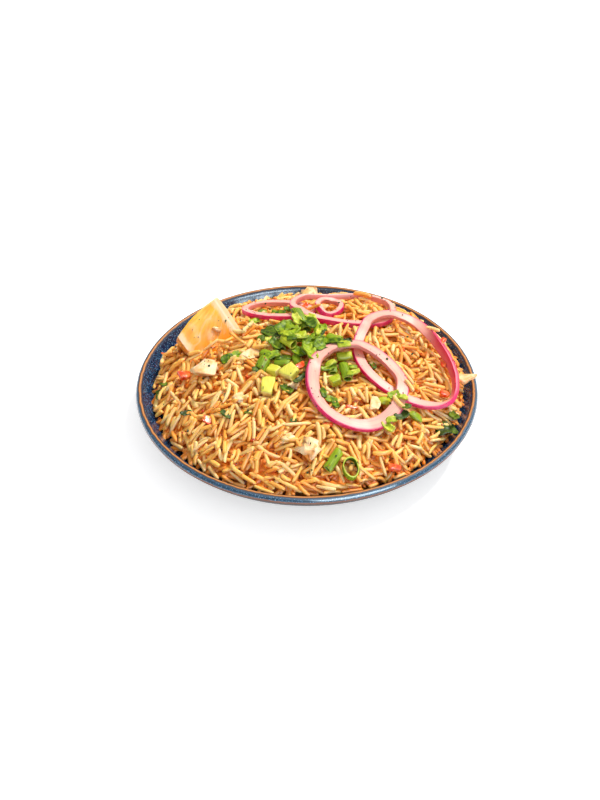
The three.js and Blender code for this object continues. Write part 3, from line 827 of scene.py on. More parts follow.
def spread_bed(bed, count):
    """Press grains into the core, a few millimetres under the heap's surface."""
    laid = []
    slope_x, slope_y = np.gradient(GROUND, CELL)
    for x, y in zip(*random_places(count)):
        i, j = int((x + HALF) / CELL), int((y + HALF) / CELL)
        if BEYOND[i, j] > -3 * MM:
            continue
        length, width, kind, model, tint = pick_grain()
        heading = rng.uniform(0, 2 * math.pi)
        slope = slope_x[i, j] * math.cos(heading) + slope_y[i, j] * math.sin(heading) + rng.normal(0, 0.12)
        height = GROUND[i, j] - BED_DEPTH + rng.uniform(-0.7, 0.7) * MM
        patch, back = bed.footprint(x, y, heading, length, width, height, slope)
        if np.any(back > CEILING[patch]):
            continue
        bed.heights[patch] = np.maximum(bed.heights[patch], back)
        laid.append((x, y, height, heading, slope, length, width, kind, model, tint))
    return laid


# %% Pour the rice
POURINGS = [(7000, 5), (11000, 25)]    # how many grains are dropped, and how many places each compares
HEADINGS = 4
STICKS_OUT = 2.0 * MM


def pour(bed, count, tries):
    """Lay grains and return a row for each: x, y, z, heading, slope, length, width, kind, model, tint."""
    laid = []
    refused = np.zeros_like(GRID_X)    # where no grain would fit, so that others are tried elsewhere
    for _ in range(count):
        xs, ys = random_places(tries)
        i, j = cell_of(xs, ys)
        free = CEILING[i, j] - bed.heights[i, j] - refused[i, j]
        pick = int(np.argmax(free))
        length, width, kind, model, tint = pick_grain()
        x, y = float(xs[pick]), float(ys[pick])
        for heading in rng.uniform(0, 2 * math.pi, HEADINGS):
            height, slope = bed.settle(x, y, heading, length, width)
            patch, back = bed.footprint(x, y, heading, length, width, height, slope)
            proud = (back - OPEN_CEILING[patch]).max()
            if np.any(back > HARD_CEILING[patch]) or proud > STICKS_OUT * inwards[i[pick], j[pick]]:
                continue
            bed.heights[patch] = np.maximum(bed.heights[patch], back)
            laid.append((x, y, height, heading, slope, length, width, kind, model, tint))
            break
        else:
            refused[i[pick] - 1:i[pick] + 2, j[pick] - 1:j[pick] + 2] += 1.5 * MM
    return laid


core_top = np.where(BEYOND < -CORE_INSET, np.maximum(CORE_LIMIT - 0.4 * MM, PLATE_FLOOR + 1 * MM), PLATE_FLOOR)
bed = Bed(core_top.copy())
grains = spread_bed(bed, BEDDED)
for count, tries in POURINGS:
    print("grains laid so far:", len(grains))
    grains += pour(bed, count, tries)
print("grains in the heap:", len(grains))


# %% Turn the rows into meshes
def grain_mesh(name, rows, models):
    """One mesh of all the grains of a kind, with each grain's tint and depth as attributes."""
    points, faces, tints, depths, lengths = [], [], [], [], []
    start = 0
    for x, y, z, heading, slope, length, width, _, model, tint in rows:
        corners, sides, bend = models[int(model) % len(models)]
        local = corners * (length, width, width)
        local[:, 1] += bend * length * (0.5 - 2 * corners[:, 0] ** 2)
        turn = Matrix.Rotation(heading, 3, "Z") @ Matrix.Rotation(-math.atan(slope), 3, "Y")
        roll = Matrix.Rotation((tint - 0.5) * 1.6, 3, "X")
        points.append(local @ np.array(turn @ roll).T + (x, y, z))
        faces += [[start + k for k in side] for side in sides]
        start += len(corners)
        depth = (at_cell(GROUND, x, y) + PROUD - z) / (CORE_DEPTH + PROUD)
        tints.append(np.full(len(corners), tint))
        depths.append(np.full(len(corners), depth))
        lengths.append(2 * corners[:, 0])
    mesh = bpy.data.meshes.new(name)
    mesh.from_pydata(np.concatenate(points), [], faces)
    for layer, values in (("tint", tints), ("depth", depths), ("along", lengths)):
        attribute = mesh.attributes.new(layer, "FLOAT", "POINT")
        attribute.data.foreach_set("value", np.concatenate(values).astype(np.float32))
    return mesh


# %% [markdown]
# Some grains lie on top of the toppings: over the foot of the lemon, and with a clump of rice that
# was spooned over the onion at the back. They rest on a second ground that has the toppings in it.

# %% Stray grains, as x, y, spread, count and how tall their stack may be
STRAYS = [
    (-39, 19, 4, 14, 7), (-44, 15, 4, 16, 7), (-51, 10, 4, 16, 7), (-58, 6, 4, 14, 7), (-66, 6, 4, 8, 6),
    (-87, 19, 5, 12, 7), (-84, 27, 4, 7, 7),
    (4, 50, 9, 9, 4), (10, 41, 5, 5, 4), (-15, -4, 2, 1, 4), (13, 1, 2, 1, 4), (-26, 3, 5, 3, 4),
    (34, 46, 9, 4, 4), (60, -40, 8, 3, 4), (80, 25, 8, 4, 4),
]
over = Bed(np.maximum(bed.heights, TOPSIDE))


def drop_strays(places):
    """Lay grains on top of everything, but never one on a stack of others."""
    start = over.heights.copy()
    laid = []
    for x, y, spread, count, tallest in places:
        for dx, dy in rng.normal(0, spread / 2, (count, 2)):
            length, width, kind, model, tint = pick_grain()
            length, kind = min(length, 12 * MM), kind if kind != CURLED else 0
            heading = rng.uniform(0, 2 * math.pi)
            place = ((x + dx) * MM, (y + dy) * MM)
            height, slope = over.settle(*place, heading, length, width)
            if height - at_cell(start, *place) > tallest * MM or abs(slope) > 0.7:
                continue
            patch, back = over.footprint(*place, heading, length, width, height, slope)
            over.heights[patch] = np.maximum(over.heights[patch], back)
            laid.append((*place, height, heading, slope, length, width, kind, model, tint))
    return laid


strays = drop_strays(STRAYS)
grains = np.array(grains + strays)
print("stray grains:", len(strays))


# %% The grains' finish
rice = Finish("fried rice", 0.4, Specular_IOR_Level=0.35, Subsurface_Weight=0.35, Subsurface_Scale=1.5 * MM)
rice.shader.inputs["Subsurface Radius"].default_value = (1.0, 0.5, 0.1)
own = rice.ramp(rice.attribute("tint"), [
    (0.0, paint(253, 166, 64)),
    (0.3, paint(255, 190, 90)),
    (0.7, paint(255, 204, 116)),
    (1.0, paint(255, 220, 154)),
])
sauce = rice.group(PATCHES, Vector=rice.place, Scale=60.0, Detail=4.0, Low=0.45, High=0.72)
stained = rice.mix(rice.math("MULTIPLY", sauce, 0.4), own, paint(246, 156, 54))
# Grains that lie deeper turn a dark, saturated orange: painted shade of the gaps between grains, with sauce that
# collects below.
sunk_painted_shade = rice.span(rice.attribute("depth"), 0.45, 0.9, 0.0, 0.85)
rice.colour(rice.mix(sunk_painted_shade, stained, paint(240, 128, 4)))
skin = rice.group(PATCHES, Vector=rice.place, Scale=1400.0, Detail=2.0, Low=0.3, High=0.7)
rice.bump(skin, 0.08 * MM, 0.4)
for number, kind in enumerate(KIND_NAMES):
    rows = grains[grains[:, 7] == number]
    piece = finish_piece(kind, grain_mesh(kind, rows, GRAIN_KINDS[kind]), rice)
    print(kind, len(rows), "grains,", len(piece.data.polygons), "faces")

# %% [markdown]
# ## Red onion
#
# Each slice is a hoop with a flat band: the upper and lower faces are cuts, and the outer wall is the
# purple skin of that layer. A rounded section is spun into a plain hoop first. Then each of its
# corners is carried to the place that the frame's own hoop has at that turn, so the slice drapes over
# the rice as the frame's does. Each corner keeps how far across and how far round the band it lies,
# for the finish.

# %% The courses of the slices, as in the frame
ONION_STATIONS = 40
ONION_STEPS = 200
ONION_COURSES = {
    "onion_ring_left": dict(x=-18.1, y=48.4, long=23.4, wide=10.6, heading=-26, egg=0.02, width=4.4, thick=3.6),
    "onion_ring_back": dict(x=24.7, y=42.9, long=31.1, wide=20.1, heading=-2, egg=-0.08, width=3.8, thick=4.2),
    "onion_ring_small": dict(x=14.2, y=43.4, long=7.6, wide=10.2, heading=-14, egg=0, width=3.2, thick=3.8),
    "onion_ring_right": dict(x=60.4, y=-4.9, long=28.6, wide=35.9, heading=28, egg=-0.034, width=6, thick=3.2),
    "onion_ring_front": dict(x=28.2, y=-33, long=26.5, wide=28.5, heading=-4, egg=0.01, width=7.2, thick=3.2),
}
ROLL, ROLL_AT, ROLL_SPREAD = 72, 5, 62    # degrees that the right slice's band is turned up, and where


def station_frames(name):
    """For each station of a frame's hoop: its lower inner and outer corners and the way up."""
    c = ONION_COURSES[name]
    turns = np.arange(ONION_STATIONS) / ONION_STATIONS * 2 * math.pi
    size = 1 + c["egg"] * np.cos(3 * turns)
    u, v = c["long"] * size * np.cos(turns), c["wide"] * size * np.sin(turns)
    h = math.radians(c["heading"])
    middle = np.stack([c["x"] + u * math.cos(h) - v * math.sin(h), c["y"] + u * math.sin(h) + v * math.cos(h)], 1)
    along = np.roll(middle, -1, 0) - np.roll(middle, 1, 0)
    out = np.stack([along[:, 1], -along[:, 0]], 1) / np.linalg.norm(along, axis=1)[:, None]
    lean = np.zeros(ONION_STATIONS)
    if name == "onion_ring_right":
        bearing = np.degrees(np.arctan2(middle[:, 1] - c["y"], middle[:, 0] - c["x"]))
        away = np.abs((bearing - ROLL_AT + 540) % 360 - 180)
        lean = np.radians(ROLL) * np.exp(-((away / ROLL_SPREAD) ** 4))
    flat = c["width"] / 2 * np.cos(lean)[:, None]
    corners = np.array([v.co for v in NODES[name].data.vertices]) / MM
    low = np.array([lowest_near(corners, p) for p in middle - out * flat])
    high = np.array([lowest_near(corners, p) for p in middle + out * flat])
    cross = np.cross(high - low, np.column_stack([-out[:, 1], out[:, 0], np.zeros(len(out))]))
    up = cross / np.linalg.norm(cross, axis=1)[:, None]
    up[up[:, 2] < 0] *= -1
    return low * MM, high * MM, up


def lowest_near(corners, place):
    """The lowest of the corners that lie within a millimetre of a place, seen from above."""
    far = np.hypot(corners[:, 0] - place[0], corners[:, 1] - place[1])
    near = corners[far < far.min() + 0.15]
    return near[np.argmin(near[:, 2])]


# %% Make a slice
def smooth_round(values, turn):
    """Values at the stations, read between them by a curve through four neighbours."""
    at = turn / (2 * math.pi) * len(values)
    i = int(math.floor(at))
    t = at - i
    a, b, c, d = (values[(i + k) % len(values)] for k in (-1, 0, 1, 2))
    return b + 0.5 * t * (c - a + t * (2 * a - 5 * b + 4 * c - d + t * (3 * (b - c) + d - a)))


CORNER = 0.35    # millimetres, the rounding that a knife leaves along the edges of a cut
FILLED = 0.8     # share of the hoop's height that the slice fills, down from its upper face


def slice_section(width, thick):
    """A rectangle from -0.5 to 0.5 both ways with rounded corners and two more points on each long side."""
    across, up = CORNER / width, CORNER / thick
    points = []
    for quarter, (side, level) in enumerate(((1, 1), (-1, 1), (-1, -1), (1, -1))):
        for step in range(4):
            turn = math.radians(90 * quarter + 30 * step)
            points.append((side * (0.5 - across) + across * math.cos(turn),
                           level * (0.5 - up) + up * math.sin(turn)))
        if side == level:
            points += [(0.25 * level, 0.5 * level), (-0.25 * level, 0.5 * level)]
    return points


def make_slice(name):
    low, high, up = station_frames(name)
    shape = bmesh.new()
    across = shape.verts.layers.float.new("across")
    around = shape.verts.layers.float.new("around")
    blush = shape.verts.layers.float.new("blush")
    loop = []
    course = ONION_COURSES[name]
    for a, r in slice_section(course["width"], course["thick"]):
        corner = shape.verts.new((2 + a, 0, r))
        loop.append(corner)
    edges = [shape.edges.new((loop[k - 1], loop[k])) for k in range(len(loop))]
    bmesh.ops.spin(
        shape, geom=loop + edges, axis=(0, 0, 1), cent=(0, 0, 0),
        angle=2 * math.pi, steps=ONION_STEPS, use_merge=True,
    )
    for corner in shape.verts:
        x, y, r = corner.co
        turn = math.atan2(y, x) % (2 * math.pi)
        a = math.hypot(x, y) - 2
        corner[across], corner[around] = a + 0.5, turn
        start, end = smooth_round(low, turn), smooth_round(high, turn)
        way = Vector(smooth_round(up, turn)).normalized()
        thick = course["thick"] * MM
        place = Vector(start).lerp(Vector(end), a + 0.5)
        ripple = noise.noise(place * 180 + Vector((0, 0, len(name)))) * 0.2 * MM
        corner.co = place + way * ((1 - FILLED * (0.5 - r)) * thick + ripple)
        turned_up = 1 - abs(way.z)
        corner[blush] = min(max(turned_up * 2.2 - 0.3, 0), 1) * (0.8 + 0.4 * a)
    bmesh.ops.recalc_face_normals(shape, faces=shape.faces)
    return shape


# %% [markdown]
# The flesh is pale pink and lets light through, so it has some subsurface scattering. The skin is
# deep magenta, as thin as paper, and ends crisply at the cut. Fibres run round the ring. Where the
# right slice is turned up, its purple outer side shows through the thin flesh as a blush.

# %% The onion's finish
onion = Finish("red onion", 0.45, Subsurface_Weight=0.15, Subsurface_Scale=1.2 * MM)
onion.shader.inputs["Subsurface Radius"].default_value = (1.0, 0.4, 0.35)
span_across = onion.attribute("across")
fibre = onion.group(FIBRES, Along=onion.attribute("around"), Around=span_across, Length=3.0, Count=16.0)
flesh = onion.ramp(onion.math("ADD", span_across, onion.span(fibre, 0.3, 0.7, -0.015, 0.015)), [
    (0.0, paint(226, 134, 124)),
    (0.06, paint(246, 172, 154)),
    (0.5, paint(250, 186, 166)),
    (0.86, paint(246, 168, 156)),
    (0.93, paint(226, 60, 118)),
    (0.96, paint(222, 2, 104)),
])
veined = onion.mix(onion.span(fibre, 0.48, 0.66, 0.0, 0.4), flesh, paint(212, 128, 132))
blushed = onion.mix(onion.attribute("blush"), veined, paint(226, 44, 92))
onion.colour(blushed)
onion.bump(fibre, 0.12 * MM, 0.4)
for name in ONION_COURSES:
    piece = finish_piece(name + "_slice", make_slice(name), onion, [name])
    print(piece.name, len(piece.data.polygons), "faces")

# %% [markdown]
# ## Finer copies of the frame's small pieces
#
# The frame holds each piece of spring onion and vegetable as a small faceted solid in the right place.
# A copy of it is merged, its triangles are joined to quads, and two rounds of subdivision make it
# smooth. Noise then dents it a little, since no cut vegetable is regular. The piece's long axis is
# found from the faces: the sides of a tube all face away from it, so it is the direction that
# the faces look along least.


# %% Copy and refine a node
def refine(node, cuts, dent, dent_scale, crease=0.0):
    """A smooth, slightly dented copy of a node's mesh."""
    shape = bmesh.new()
    shape.from_mesh(NODES[node].data)
    bmesh.ops.remove_doubles(shape, verts=shape.verts, dist=0.01 * MM)
    bmesh.ops.join_triangles(shape, faces=shape.faces, angle_face_threshold=0.6, angle_shape_threshold=1.4)
    creases = shape.edges.layers.float.new("crease_edge")
    for edge in shape.edges:
        if len(edge.link_faces) == 2 and edge.calc_face_angle() > 0.9:
            edge[creases] = crease
    mesh = bpy.data.meshes.new("copy")
    shape.to_mesh(mesh)
    shape.free()
    holder = bpy.data.objects.new("holder", mesh)
    bpy.context.scene.collection.objects.link(holder)
    rounds = holder.modifiers.new("round", "SUBSURF")
    rounds.levels = rounds.render_levels = cuts
    smooth = bpy.data.meshes.new_from_object(holder.evaluated_get(bpy.context.evaluated_depsgraph_get()))
    bpy.data.objects.remove(holder)
    offset = Vector((0, 0, sum(map(ord, node)) % 97))
    for corner in smooth.vertices:
        push = noise.noise_vector(corner.co * dent_scale + offset) * dent
        corner.co += push
    return smooth


def long_axis(mesh):
    """The direction that a tube runs in, and its middle."""
    spread = np.zeros((3, 3))
    for face in mesh.polygons:
        n = np.array(face.normal)
        spread += face.area * np.outer(n, n)
    middle = np.mean([v.co for v in mesh.vertices], axis=0)
    return np.linalg.eigh(spread)[1][:, 0], middle


def mark_tube(mesh, tint):
    """Attributes of a tube: along it, around it, and how much a corner belongs to the cut or the inside."""
    axis, middle = long_axis(mesh)
    side = np.cross(axis, (0.3, 0.2, 0.9))
    side /= np.linalg.norm(side)
    third = np.cross(axis, side)
    place = np.array([v.co for v in mesh.vertices]) - middle
    normal = np.array([v.normal for v in mesh.vertices])
    outwards = place - np.outer(place @ axis, axis)
    outwards /= np.linalg.norm(outwards, axis=1)[:, None] + 1e-9
    layers = {
        "along": place @ axis / MM,
        "around": np.arctan2(place @ side, place @ third),
        "cut": np.abs(normal @ axis),
        "inside": np.clip(-np.sum(outwards * normal, axis=1), 0, 1),
        "tint": np.full(len(place), tint),
    }
    for name, values in layers.items():
        mesh.attributes.new(name, "FLOAT", "POINT").data.foreach_set("value", values.astype(np.float32))
    return mesh


# %% The greens
def make_green(name, dark, middle, light, cut_colour, inside_colour):
    green = Finish(name, 0.42, Specular_IOR_Level=0.3, Subsurface_Weight=0.15, Subsurface_Scale=1.2 * MM)
    green.shader.inputs["Subsurface Radius"].default_value = (0.9, 1.0, 0.1)
    veins = green.group(
        FIBRES, Along=green.attribute("along"), Around=green.attribute("around"), Length=0.12, Count=7.0,
    )
    base = green.ramp(veins, [(0.3, dark), (0.5, middle), (0.68, light)])
    toned = green.mix(green.span(green.attribute("tint"), 0, 1, 0.0, 0.6), base, light)
    opened = green.mix(green.span(green.attribute("inside"), 0.3, 0.7), toned, inside_colour)
    green.colour(green.mix(green.span(green.attribute("cut"), 0.55, 0.85), opened, cut_colour))
    green.bump(veins, 0.25 * MM, 0.5)
    return green


LEAF_GREEN = make_green(
    "spring onion green", paint(60, 92, 0), paint(112, 144, 2), paint(160, 184, 32),
    paint(184, 200, 64), paint(96, 126, 4),
)
LIGHT_GREEN = make_green(
    "spring onion light green", paint(124, 150, 2), paint(164, 182, 22), paint(206, 210, 56),
    paint(216, 218, 88), paint(136, 158, 12),
)
PALE_YELLOW = make_green(
    "spring onion white part", paint(172, 184, 18), paint(208, 206, 44), paint(232, 224, 104),
    paint(244, 228, 140), paint(214, 200, 60),
)

PALE_NODES = ["scallion_white_cube", "scallion_yellow_front", "scallion_yellow_slice"]
LIGHT_NODES = [
    "scallion_light_open", "scallion_broad", "scallion_bud", "scallion_inner_top", "scallion_inner_cube",
    "onion_bud",
]
GREEN_NODES = [n for n in NODES if n.startswith("scallion") and n not in PALE_NODES + LIGHT_NODES]
GREEN_NODES.append("green_pod")


def make_greens(nodes, finish):
    for node in nodes:
        mesh = mark_tube(refine(node, 2, 0.45 * MM, 220, crease=0.6), rng.random())
        finish_piece(node + "_cut", mesh, finish, [node])


make_greens(GREEN_NODES, LEAF_GREEN)
make_greens(LIGHT_NODES, LIGHT_GREEN)
make_greens(PALE_NODES, PALE_YELLOW)
print("greens:", len(GREEN_NODES) + len(LIGHT_NODES) + len(PALE_NODES))

# %% The leaf, the pale vegetable and the red pepper
leaf = Finish("herb leaf", 0.4)
blotches = leaf.group(PATCHES, Vector=leaf.place, Scale=500.0, Detail=3.0, Low=0.35, High=0.65)
leaf.colour(leaf.ramp(blotches, [(0.0, paint(34, 54, 0)), (1.0, paint(96, 124, 14))]))
leaf.bump(blotches, 0.3 * MM, 0.6)

pale = Finish("pale vegetable", 0.4, Subsurface_Weight=0.3, Subsurface_Scale=2.0 * MM)
warm = pale.group(PATCHES, Vector=pale.place, Scale=220.0, Detail=4.0, Low=0.35, High=0.7)
pale.colour(pale.ramp(warm, [(0.0, paint(255, 222, 174)), (1.0, paint(244, 182, 110))]))
pale.bump(warm, 0.4 * MM, 0.7)

pepper = Finish("red pepper", 0.25, Subsurface_Weight=0.2, Subsurface_Scale=1.5 * MM)
ripe = pepper.group(PATCHES, Vector=pepper.place, Scale=300.0, Detail=3.0, Low=0.35, High=0.65)
pepper.colour(pepper.ramp(ripe, [(0.0, paint(224, 62, 12)), (1.0, paint(240, 126, 58))]))
pepper.bump(ripe, 0.2 * MM, 0.5)


# %% Cut chunks
def model_chunk(length, width, height, seed, uneven=0.3):
    """A knife-cut block with slightly rounded corners and uneven faces."""
    shape = bmesh.new()
    bmesh.ops.create_cube(shape, size=1.0)
    bmesh.ops.bevel(
        shape, geom=shape.edges[:] + shape.verts[:], offset=0.13, segments=2, profile=0.5,
        affect="EDGES", material=-1,
    )
    bmesh.ops.subdivide_edges(shape, edges=shape.edges[:], cuts=1, use_grid_fill=True)
    for corner in shape.verts:
        push = noise.noise_vector(corner.co * 2.3 + Vector((seed * 7.3, seed * 3.1, seed)))
        corner.co += push * uneven
        corner.co = Vector((corner.co.x * length, corner.co.y * width, corner.co.z * height))
    bmesh.ops.recalc_face_normals(shape, faces=shape.faces)
    return shape


def chunk_of(node, seed):
    """A chunk in the place and of the size of one of the frame's nodes."""
    low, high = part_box(node)
    size = high - low
    shape = model_chunk(0.9 * size.x, 0.9 * size.y, 0.7 * size.z, seed, 0.5)
    bmesh.ops.rotate(shape, verts=shape.verts, matrix=Matrix.Rotation(0.35 * math.sin(seed * 5), 3, "Z"))
    middle = Vector(((low.x + high.x) / 2, (low.y + high.y) / 2, low.z + 0.42 * size.z))
    bmesh.ops.translate(shape, verts=shape.verts, vec=middle)
    return shape


for seed, node in enumerate(n for n in NODES if n.startswith("pale_vegetable")):
    shard = node == "pale_vegetable_shard"
    shape = refine(node, 2, 0.4 * MM, 160, 0.5) if shard else chunk_of(node, seed)
    finish_piece(node + "_chunk", shape, pale, [node])
for node in (n for n in NODES if n.startswith("red_pepper")):
    finish_piece(node + "_cube", refine(node, 2, 0.4 * MM, 200, 0.4), pepper, [node])
finish_piece("green_leaf_lobed", refine("green_leaf", 2, 0.8 * MM, 160, 0.2), leaf, ["green_leaf"])

# %% [markdown]
# ## Small garnish
#
# Between the toppings that the frame holds lie many smaller ones: strips and scraps of spring onion,
# dark herb leaf, bits of red pepper and of pale vegetable. Each kind is one piece made of separate
# scraps. A scrap is modelled flat, folded and bent a little, turned, and lowered onto whatever is
# highest under it, so that scraps in the pile lie on one another.


# %% A scrap of leaf
def model_scrap(length, width, seed, fold, thickness):
    """A strip that is folded along its middle, curls along its length and has a torn outline."""
    shape = bmesh.new()
    bmesh.ops.create_grid(shape, x_segments=9, y_segments=5, size=0.5)
    for corner in shape.verts:
        x, y = corner.co.x, corner.co.y
        torn = 1 + 0.35 * noise.noise(Vector((x * 3, seed * 5.7, math.copysign(1, y))))
        blunt = 1 - 0.35 * abs(2 * x) ** 4
        curl = 0.1 * length * math.sin(seed * 9.1) * (2 * x) ** 2
        wave = 0.12 * width * noise.noise(Vector((x * 4, y * 4, seed)))
        corner.co = Vector((x * length, y * width * torn * blunt, fold * abs(y) * width + curl + wave))
    bmesh.ops.solidify(shape, geom=shape.faces[:] + shape.edges[:] + shape.verts[:], thickness=thickness)
    bmesh.ops.recalc_face_normals(shape, faces=shape.faces)
    return shape


# %% Lay scraps on the dish
def lay(shape, x, y, heading, tilt, roll, settled):
    """Turn a shape and lower it until the given share of its corners, in percent, has touched down."""
    turn = Matrix.Rotation(heading, 3, "Z") @ Matrix.Rotation(tilt, 3, "Y") @ Matrix.Rotation(roll, 3, "X")
    bmesh.ops.rotate(shape, verts=shape.verts, matrix=turn)
    bmesh.ops.translate(shape, verts=shape.verts, vec=(x, y, 0))
    places = np.array([v.co for v in shape.verts])
    i, j = cell_of(places[:, 0], places[:, 1])
    lift = float(np.percentile(over.heights[i, j] - places[:, 2], settled))
    bmesh.ops.translate(shape, verts=shape.verts, vec=(0, 0, lift))
    np.maximum.at(over.heights, (i, j), places[:, 2] + lift)


def lay_all(name, rows, model, finish, settled=80):
    """Lay one scrap for each row of x, y, length, width in millimetres and heading in degrees."""
    joined = bpy.data.meshes.new(name)
    gathered = bmesh.new()
    tint = gathered.verts.layers.float.new("tint")
    for number, (x, y, length, width, heading) in enumerate(rows):
        shape = model(length * MM, width * MM, number + len(name))
        tilt, roll = rng.normal(0, 0.16, 2)
        lay(shape, x * MM, y * MM, math.radians(heading), tilt, roll, settled)
        before = len(gathered.verts)
        shape.to_mesh(joined)
        shape.free()
        gathered.from_mesh(joined)
        gathered.verts.ensure_lookup_table()
        own_tint = rng.random()
        for k in range(before, len(gathered.verts)):
            gathered.verts[k][tint] = own_tint
    gathered.to_mesh(joined)
    gathered.free()
    piece = finish_piece(name, joined, finish)
    print(name, len(rows), "scraps,", len(joined.polygons), "faces")
    return piece


def make_scrap_finish(name, dark, middle, light):
    scrap = Finish(name, 0.45, Specular_IOR_Level=0.3, Subsurface_Weight=0.1, Subsurface_Scale=0.8 * MM)
    cloudy = scrap.group(PATCHES, Vector=scrap.place, Scale=420.0, Detail=3.0, Low=0.3, High=0.7)
    shade = scrap.math("ADD", scrap.math("MULTIPLY", cloudy, 0.5), scrap.math("MULTIPLY", scrap.attribute("tint"), 0.5))
    scrap.colour(scrap.ramp(shade, [(0.15, dark), (0.5, middle), (0.85, light)]))
    scrap.bump(cloudy, 0.2 * MM, 0.5)
    return scrap


# %% Where the scraps lie
GREEN_SCRAPS = [
    (-15, 14, 12, 8, 60), (1, 18, 12, 8, -60), (-8, 8, 10, 7, 30), (10, 13, 6, 4, -80), (18, 0, 7, 4, 0),
    (9, -6, 12, 8, 45), (1, -4, 14, 9, 70), (-14, -10, 10, 4, 10), (-9, -2, 6, 5, 0), (2, -13, 14, 7, -70),
    (16, -3, 13, 5, -15), (-19, 1, 9, 6, -40), (6, 4, 9, 7, 20), (-5, -8, 9, 6, -50), (-21, -9, 10, 6, 20),
    (-18, 43, 9, 6, -15), (-28, 48, 6, 4, 20), (-12, 47, 5, 4, 0), (-33, 38, 7, 4, 30),
    (25, -28, 4, 4, 0), (14, -44, 7, 4, -20), (9, -41, 8, 3.5, -75), (16, -48, 8, 4, -80), (39, -14, 6, 3, -60),
    (-12, -37, 8, 5, -50), (-48, -4, 8, 6, 20), (-43, -1, 7, 5, 45), (12, -22, 8, 5, 20), (27, -20, 5, 2.5, 0),
]
HERB_SCRAPS = [
    (-23, 19, 12, 8, -55), (-18, 14, 9, 6, 20), (-37, 29, 10, 6, -60), (-4, -31, 12, 3, 50), (-27, 14, 7, 5, 10),
    (54, -54, 9, 6, 30), (57, -50, 5, 4, -20), (-71, -40, 7, 4, 20), (-47, -49, 8, 4, -40), (-34, -50, 5, 3, 0),
    (-8, -60, 4, 3, 0), (90, 38, 3, 2, 0), (-90, -12, 9, 4, -80), (-88, -5, 6, 4, -60), (84, -43, 11, 8, -60),
    (80, -48, 9, 7, 20), (87, -36, 8, 5, -70), (8, 8, 8, 5, 70), (-30, -20, 5, 4, 10), (24, -3, 6, 4, 30),
]
LIGHT_SCRAPS = [
    (28, -26, 6, 4, 10), (14, -18, 7, 5, 25), (46, -62, 9, 5, -60), (48, -58, 6, 4, 10), (-23, 5, 5, 4, 0),
    (3, 24, 12, 6, -62), (-6, 21, 9, 5, -70), (7, 8, 7, 3, 80), (22, -8, 8, 6, 5), (-4, 1, 8, 5, 15),
    (-13, 4, 8, 5, -30), (50, -42, 7, 5, 20), (55, -44, 6, 4, -10),
]
RED_BITS = [
    (-88, 22, 5, 3, 20), (-57, -50, 8, 4, -30), (-4, -21, 7, 3, 50), (-33, -20, 7, 3, 10), (57, 5, 5, 3, 0),
    (83, 13, 6, 3, 60), (41, -75, 6, 3, 20), (26, -48, 8, 2, 10), (-1, 47, 6, 4, 70), (78, 38, 7, 3, 80),
    (82, 22, 8, 3, 85), (83, 2, 8, 3, 95), (-30, -66, 5, 2, 40), (12, -62, 5, 2, -20),
]
TAN_CHUNKS = [
    (-7, -32, 8, 5, 70), (-34, -2, 9, 6, 40), (39, -44, 9, 5, 75), (9, 44, 8, 5, -20),
    (60, 22, 7, 4, 30), (-40, -38, 7, 5, 90), (-12, -70, 7, 5, 20),
]

# %% Lay them
green_scraps = make_scrap_finish("spring onion scraps", paint(62, 92, 0), paint(116, 146, 2), paint(168, 188, 36))
herb_scraps = make_scrap_finish("herb scraps", paint(34, 52, 0), paint(62, 86, 2), paint(108, 132, 16))
light_scraps = make_scrap_finish("pale spring onion scraps", paint(130, 158, 20), paint(178, 190, 40), paint(214, 214, 90))


def green_scrap(length, width, seed):
    return model_scrap(length, width, seed, 0.5, 1.1 * MM)


def herb_scrap(length, width, seed):
    return model_scrap(length, width, seed, 0.2, 0.5 * MM)


def red_bit(length, width, seed):
    return model_chunk(length, width, 2.0 * MM, seed)


def tan_chunk(length, width, seed):
    return model_chunk(length, width, 3.2 * MM, seed, 0.4)


lay_all("pale_chunks", TAN_CHUNKS, tan_chunk, pale, 55)
lay_all("pepper_bits", RED_BITS, red_bit, pepper, 55)
lay_all("herb_scraps", HERB_SCRAPS, herb_scrap, herb_scraps)
lay_all("green_scraps", GREEN_SCRAPS, green_scrap, green_scraps)
lay_all("light_scraps", LIGHT_SCRAPS, green_scrap, light_scraps)

# %% [markdown]
# Coarse black pepper and chilli flakes were scattered over the whole dish, over the lemon and the
# onion too. A speck is a ball of twenty faces, squashed and turned at random.

# %% Ground pepper and chilli
PEPPER_SPECKS = 420
CHILLI_FLECKS = 90
HERB_CRUMBS = 110


def scatter(name, count, smallest, largest, finish):
    """Specks of the given sizes in millimetres, at random all over the dish."""
    gathered = bmesh.new()
    xs, ys = random_places(count * 2)
    i, j = cell_of(xs, ys)
    on_food = np.flatnonzero(BEYOND[i, j] < -4 * MM)[:count]
    for k in on_food:
        size = rng.uniform(smallest, largest) * MM
        place = Vector((xs[k], ys[k], over.heights[i[k], j[k]] + 0.2 * size))
        squash = Matrix.Diagonal((size, size * rng.uniform(0.6, 1), size * rng.uniform(0.4, 0.8), 1))
        turn = Matrix.Rotation(rng.uniform(0, 6.3), 4, Vector(rng.normal(0, 1, 3)).normalized())
        bmesh.ops.create_icosphere(
            gathered, subdivisions=1, radius=0.5, matrix=Matrix.Translation(place) @ turn @ squash,
        )
    piece = finish_piece(name, gathered, finish, flat=True)
    print(name, len(on_food), "specks")
    return piece


peppercorn = Finish("ground black pepper", 0.6)
peppercorn.colour(paint(26, 20, 16))
chilli = Finish("chilli flakes", 0.4)
chilli.colour(paint(196, 30, 6))
scatter("ground_pepper", PEPPER_SPECKS, 0.5, 1.1, peppercorn)
scatter("chilli_flakes", CHILLI_FLECKS, 0.7, 1.6, chilli)
scatter("herb_crumbs", HERB_CRUMBS, 0.8, 2.2, herb_scraps)

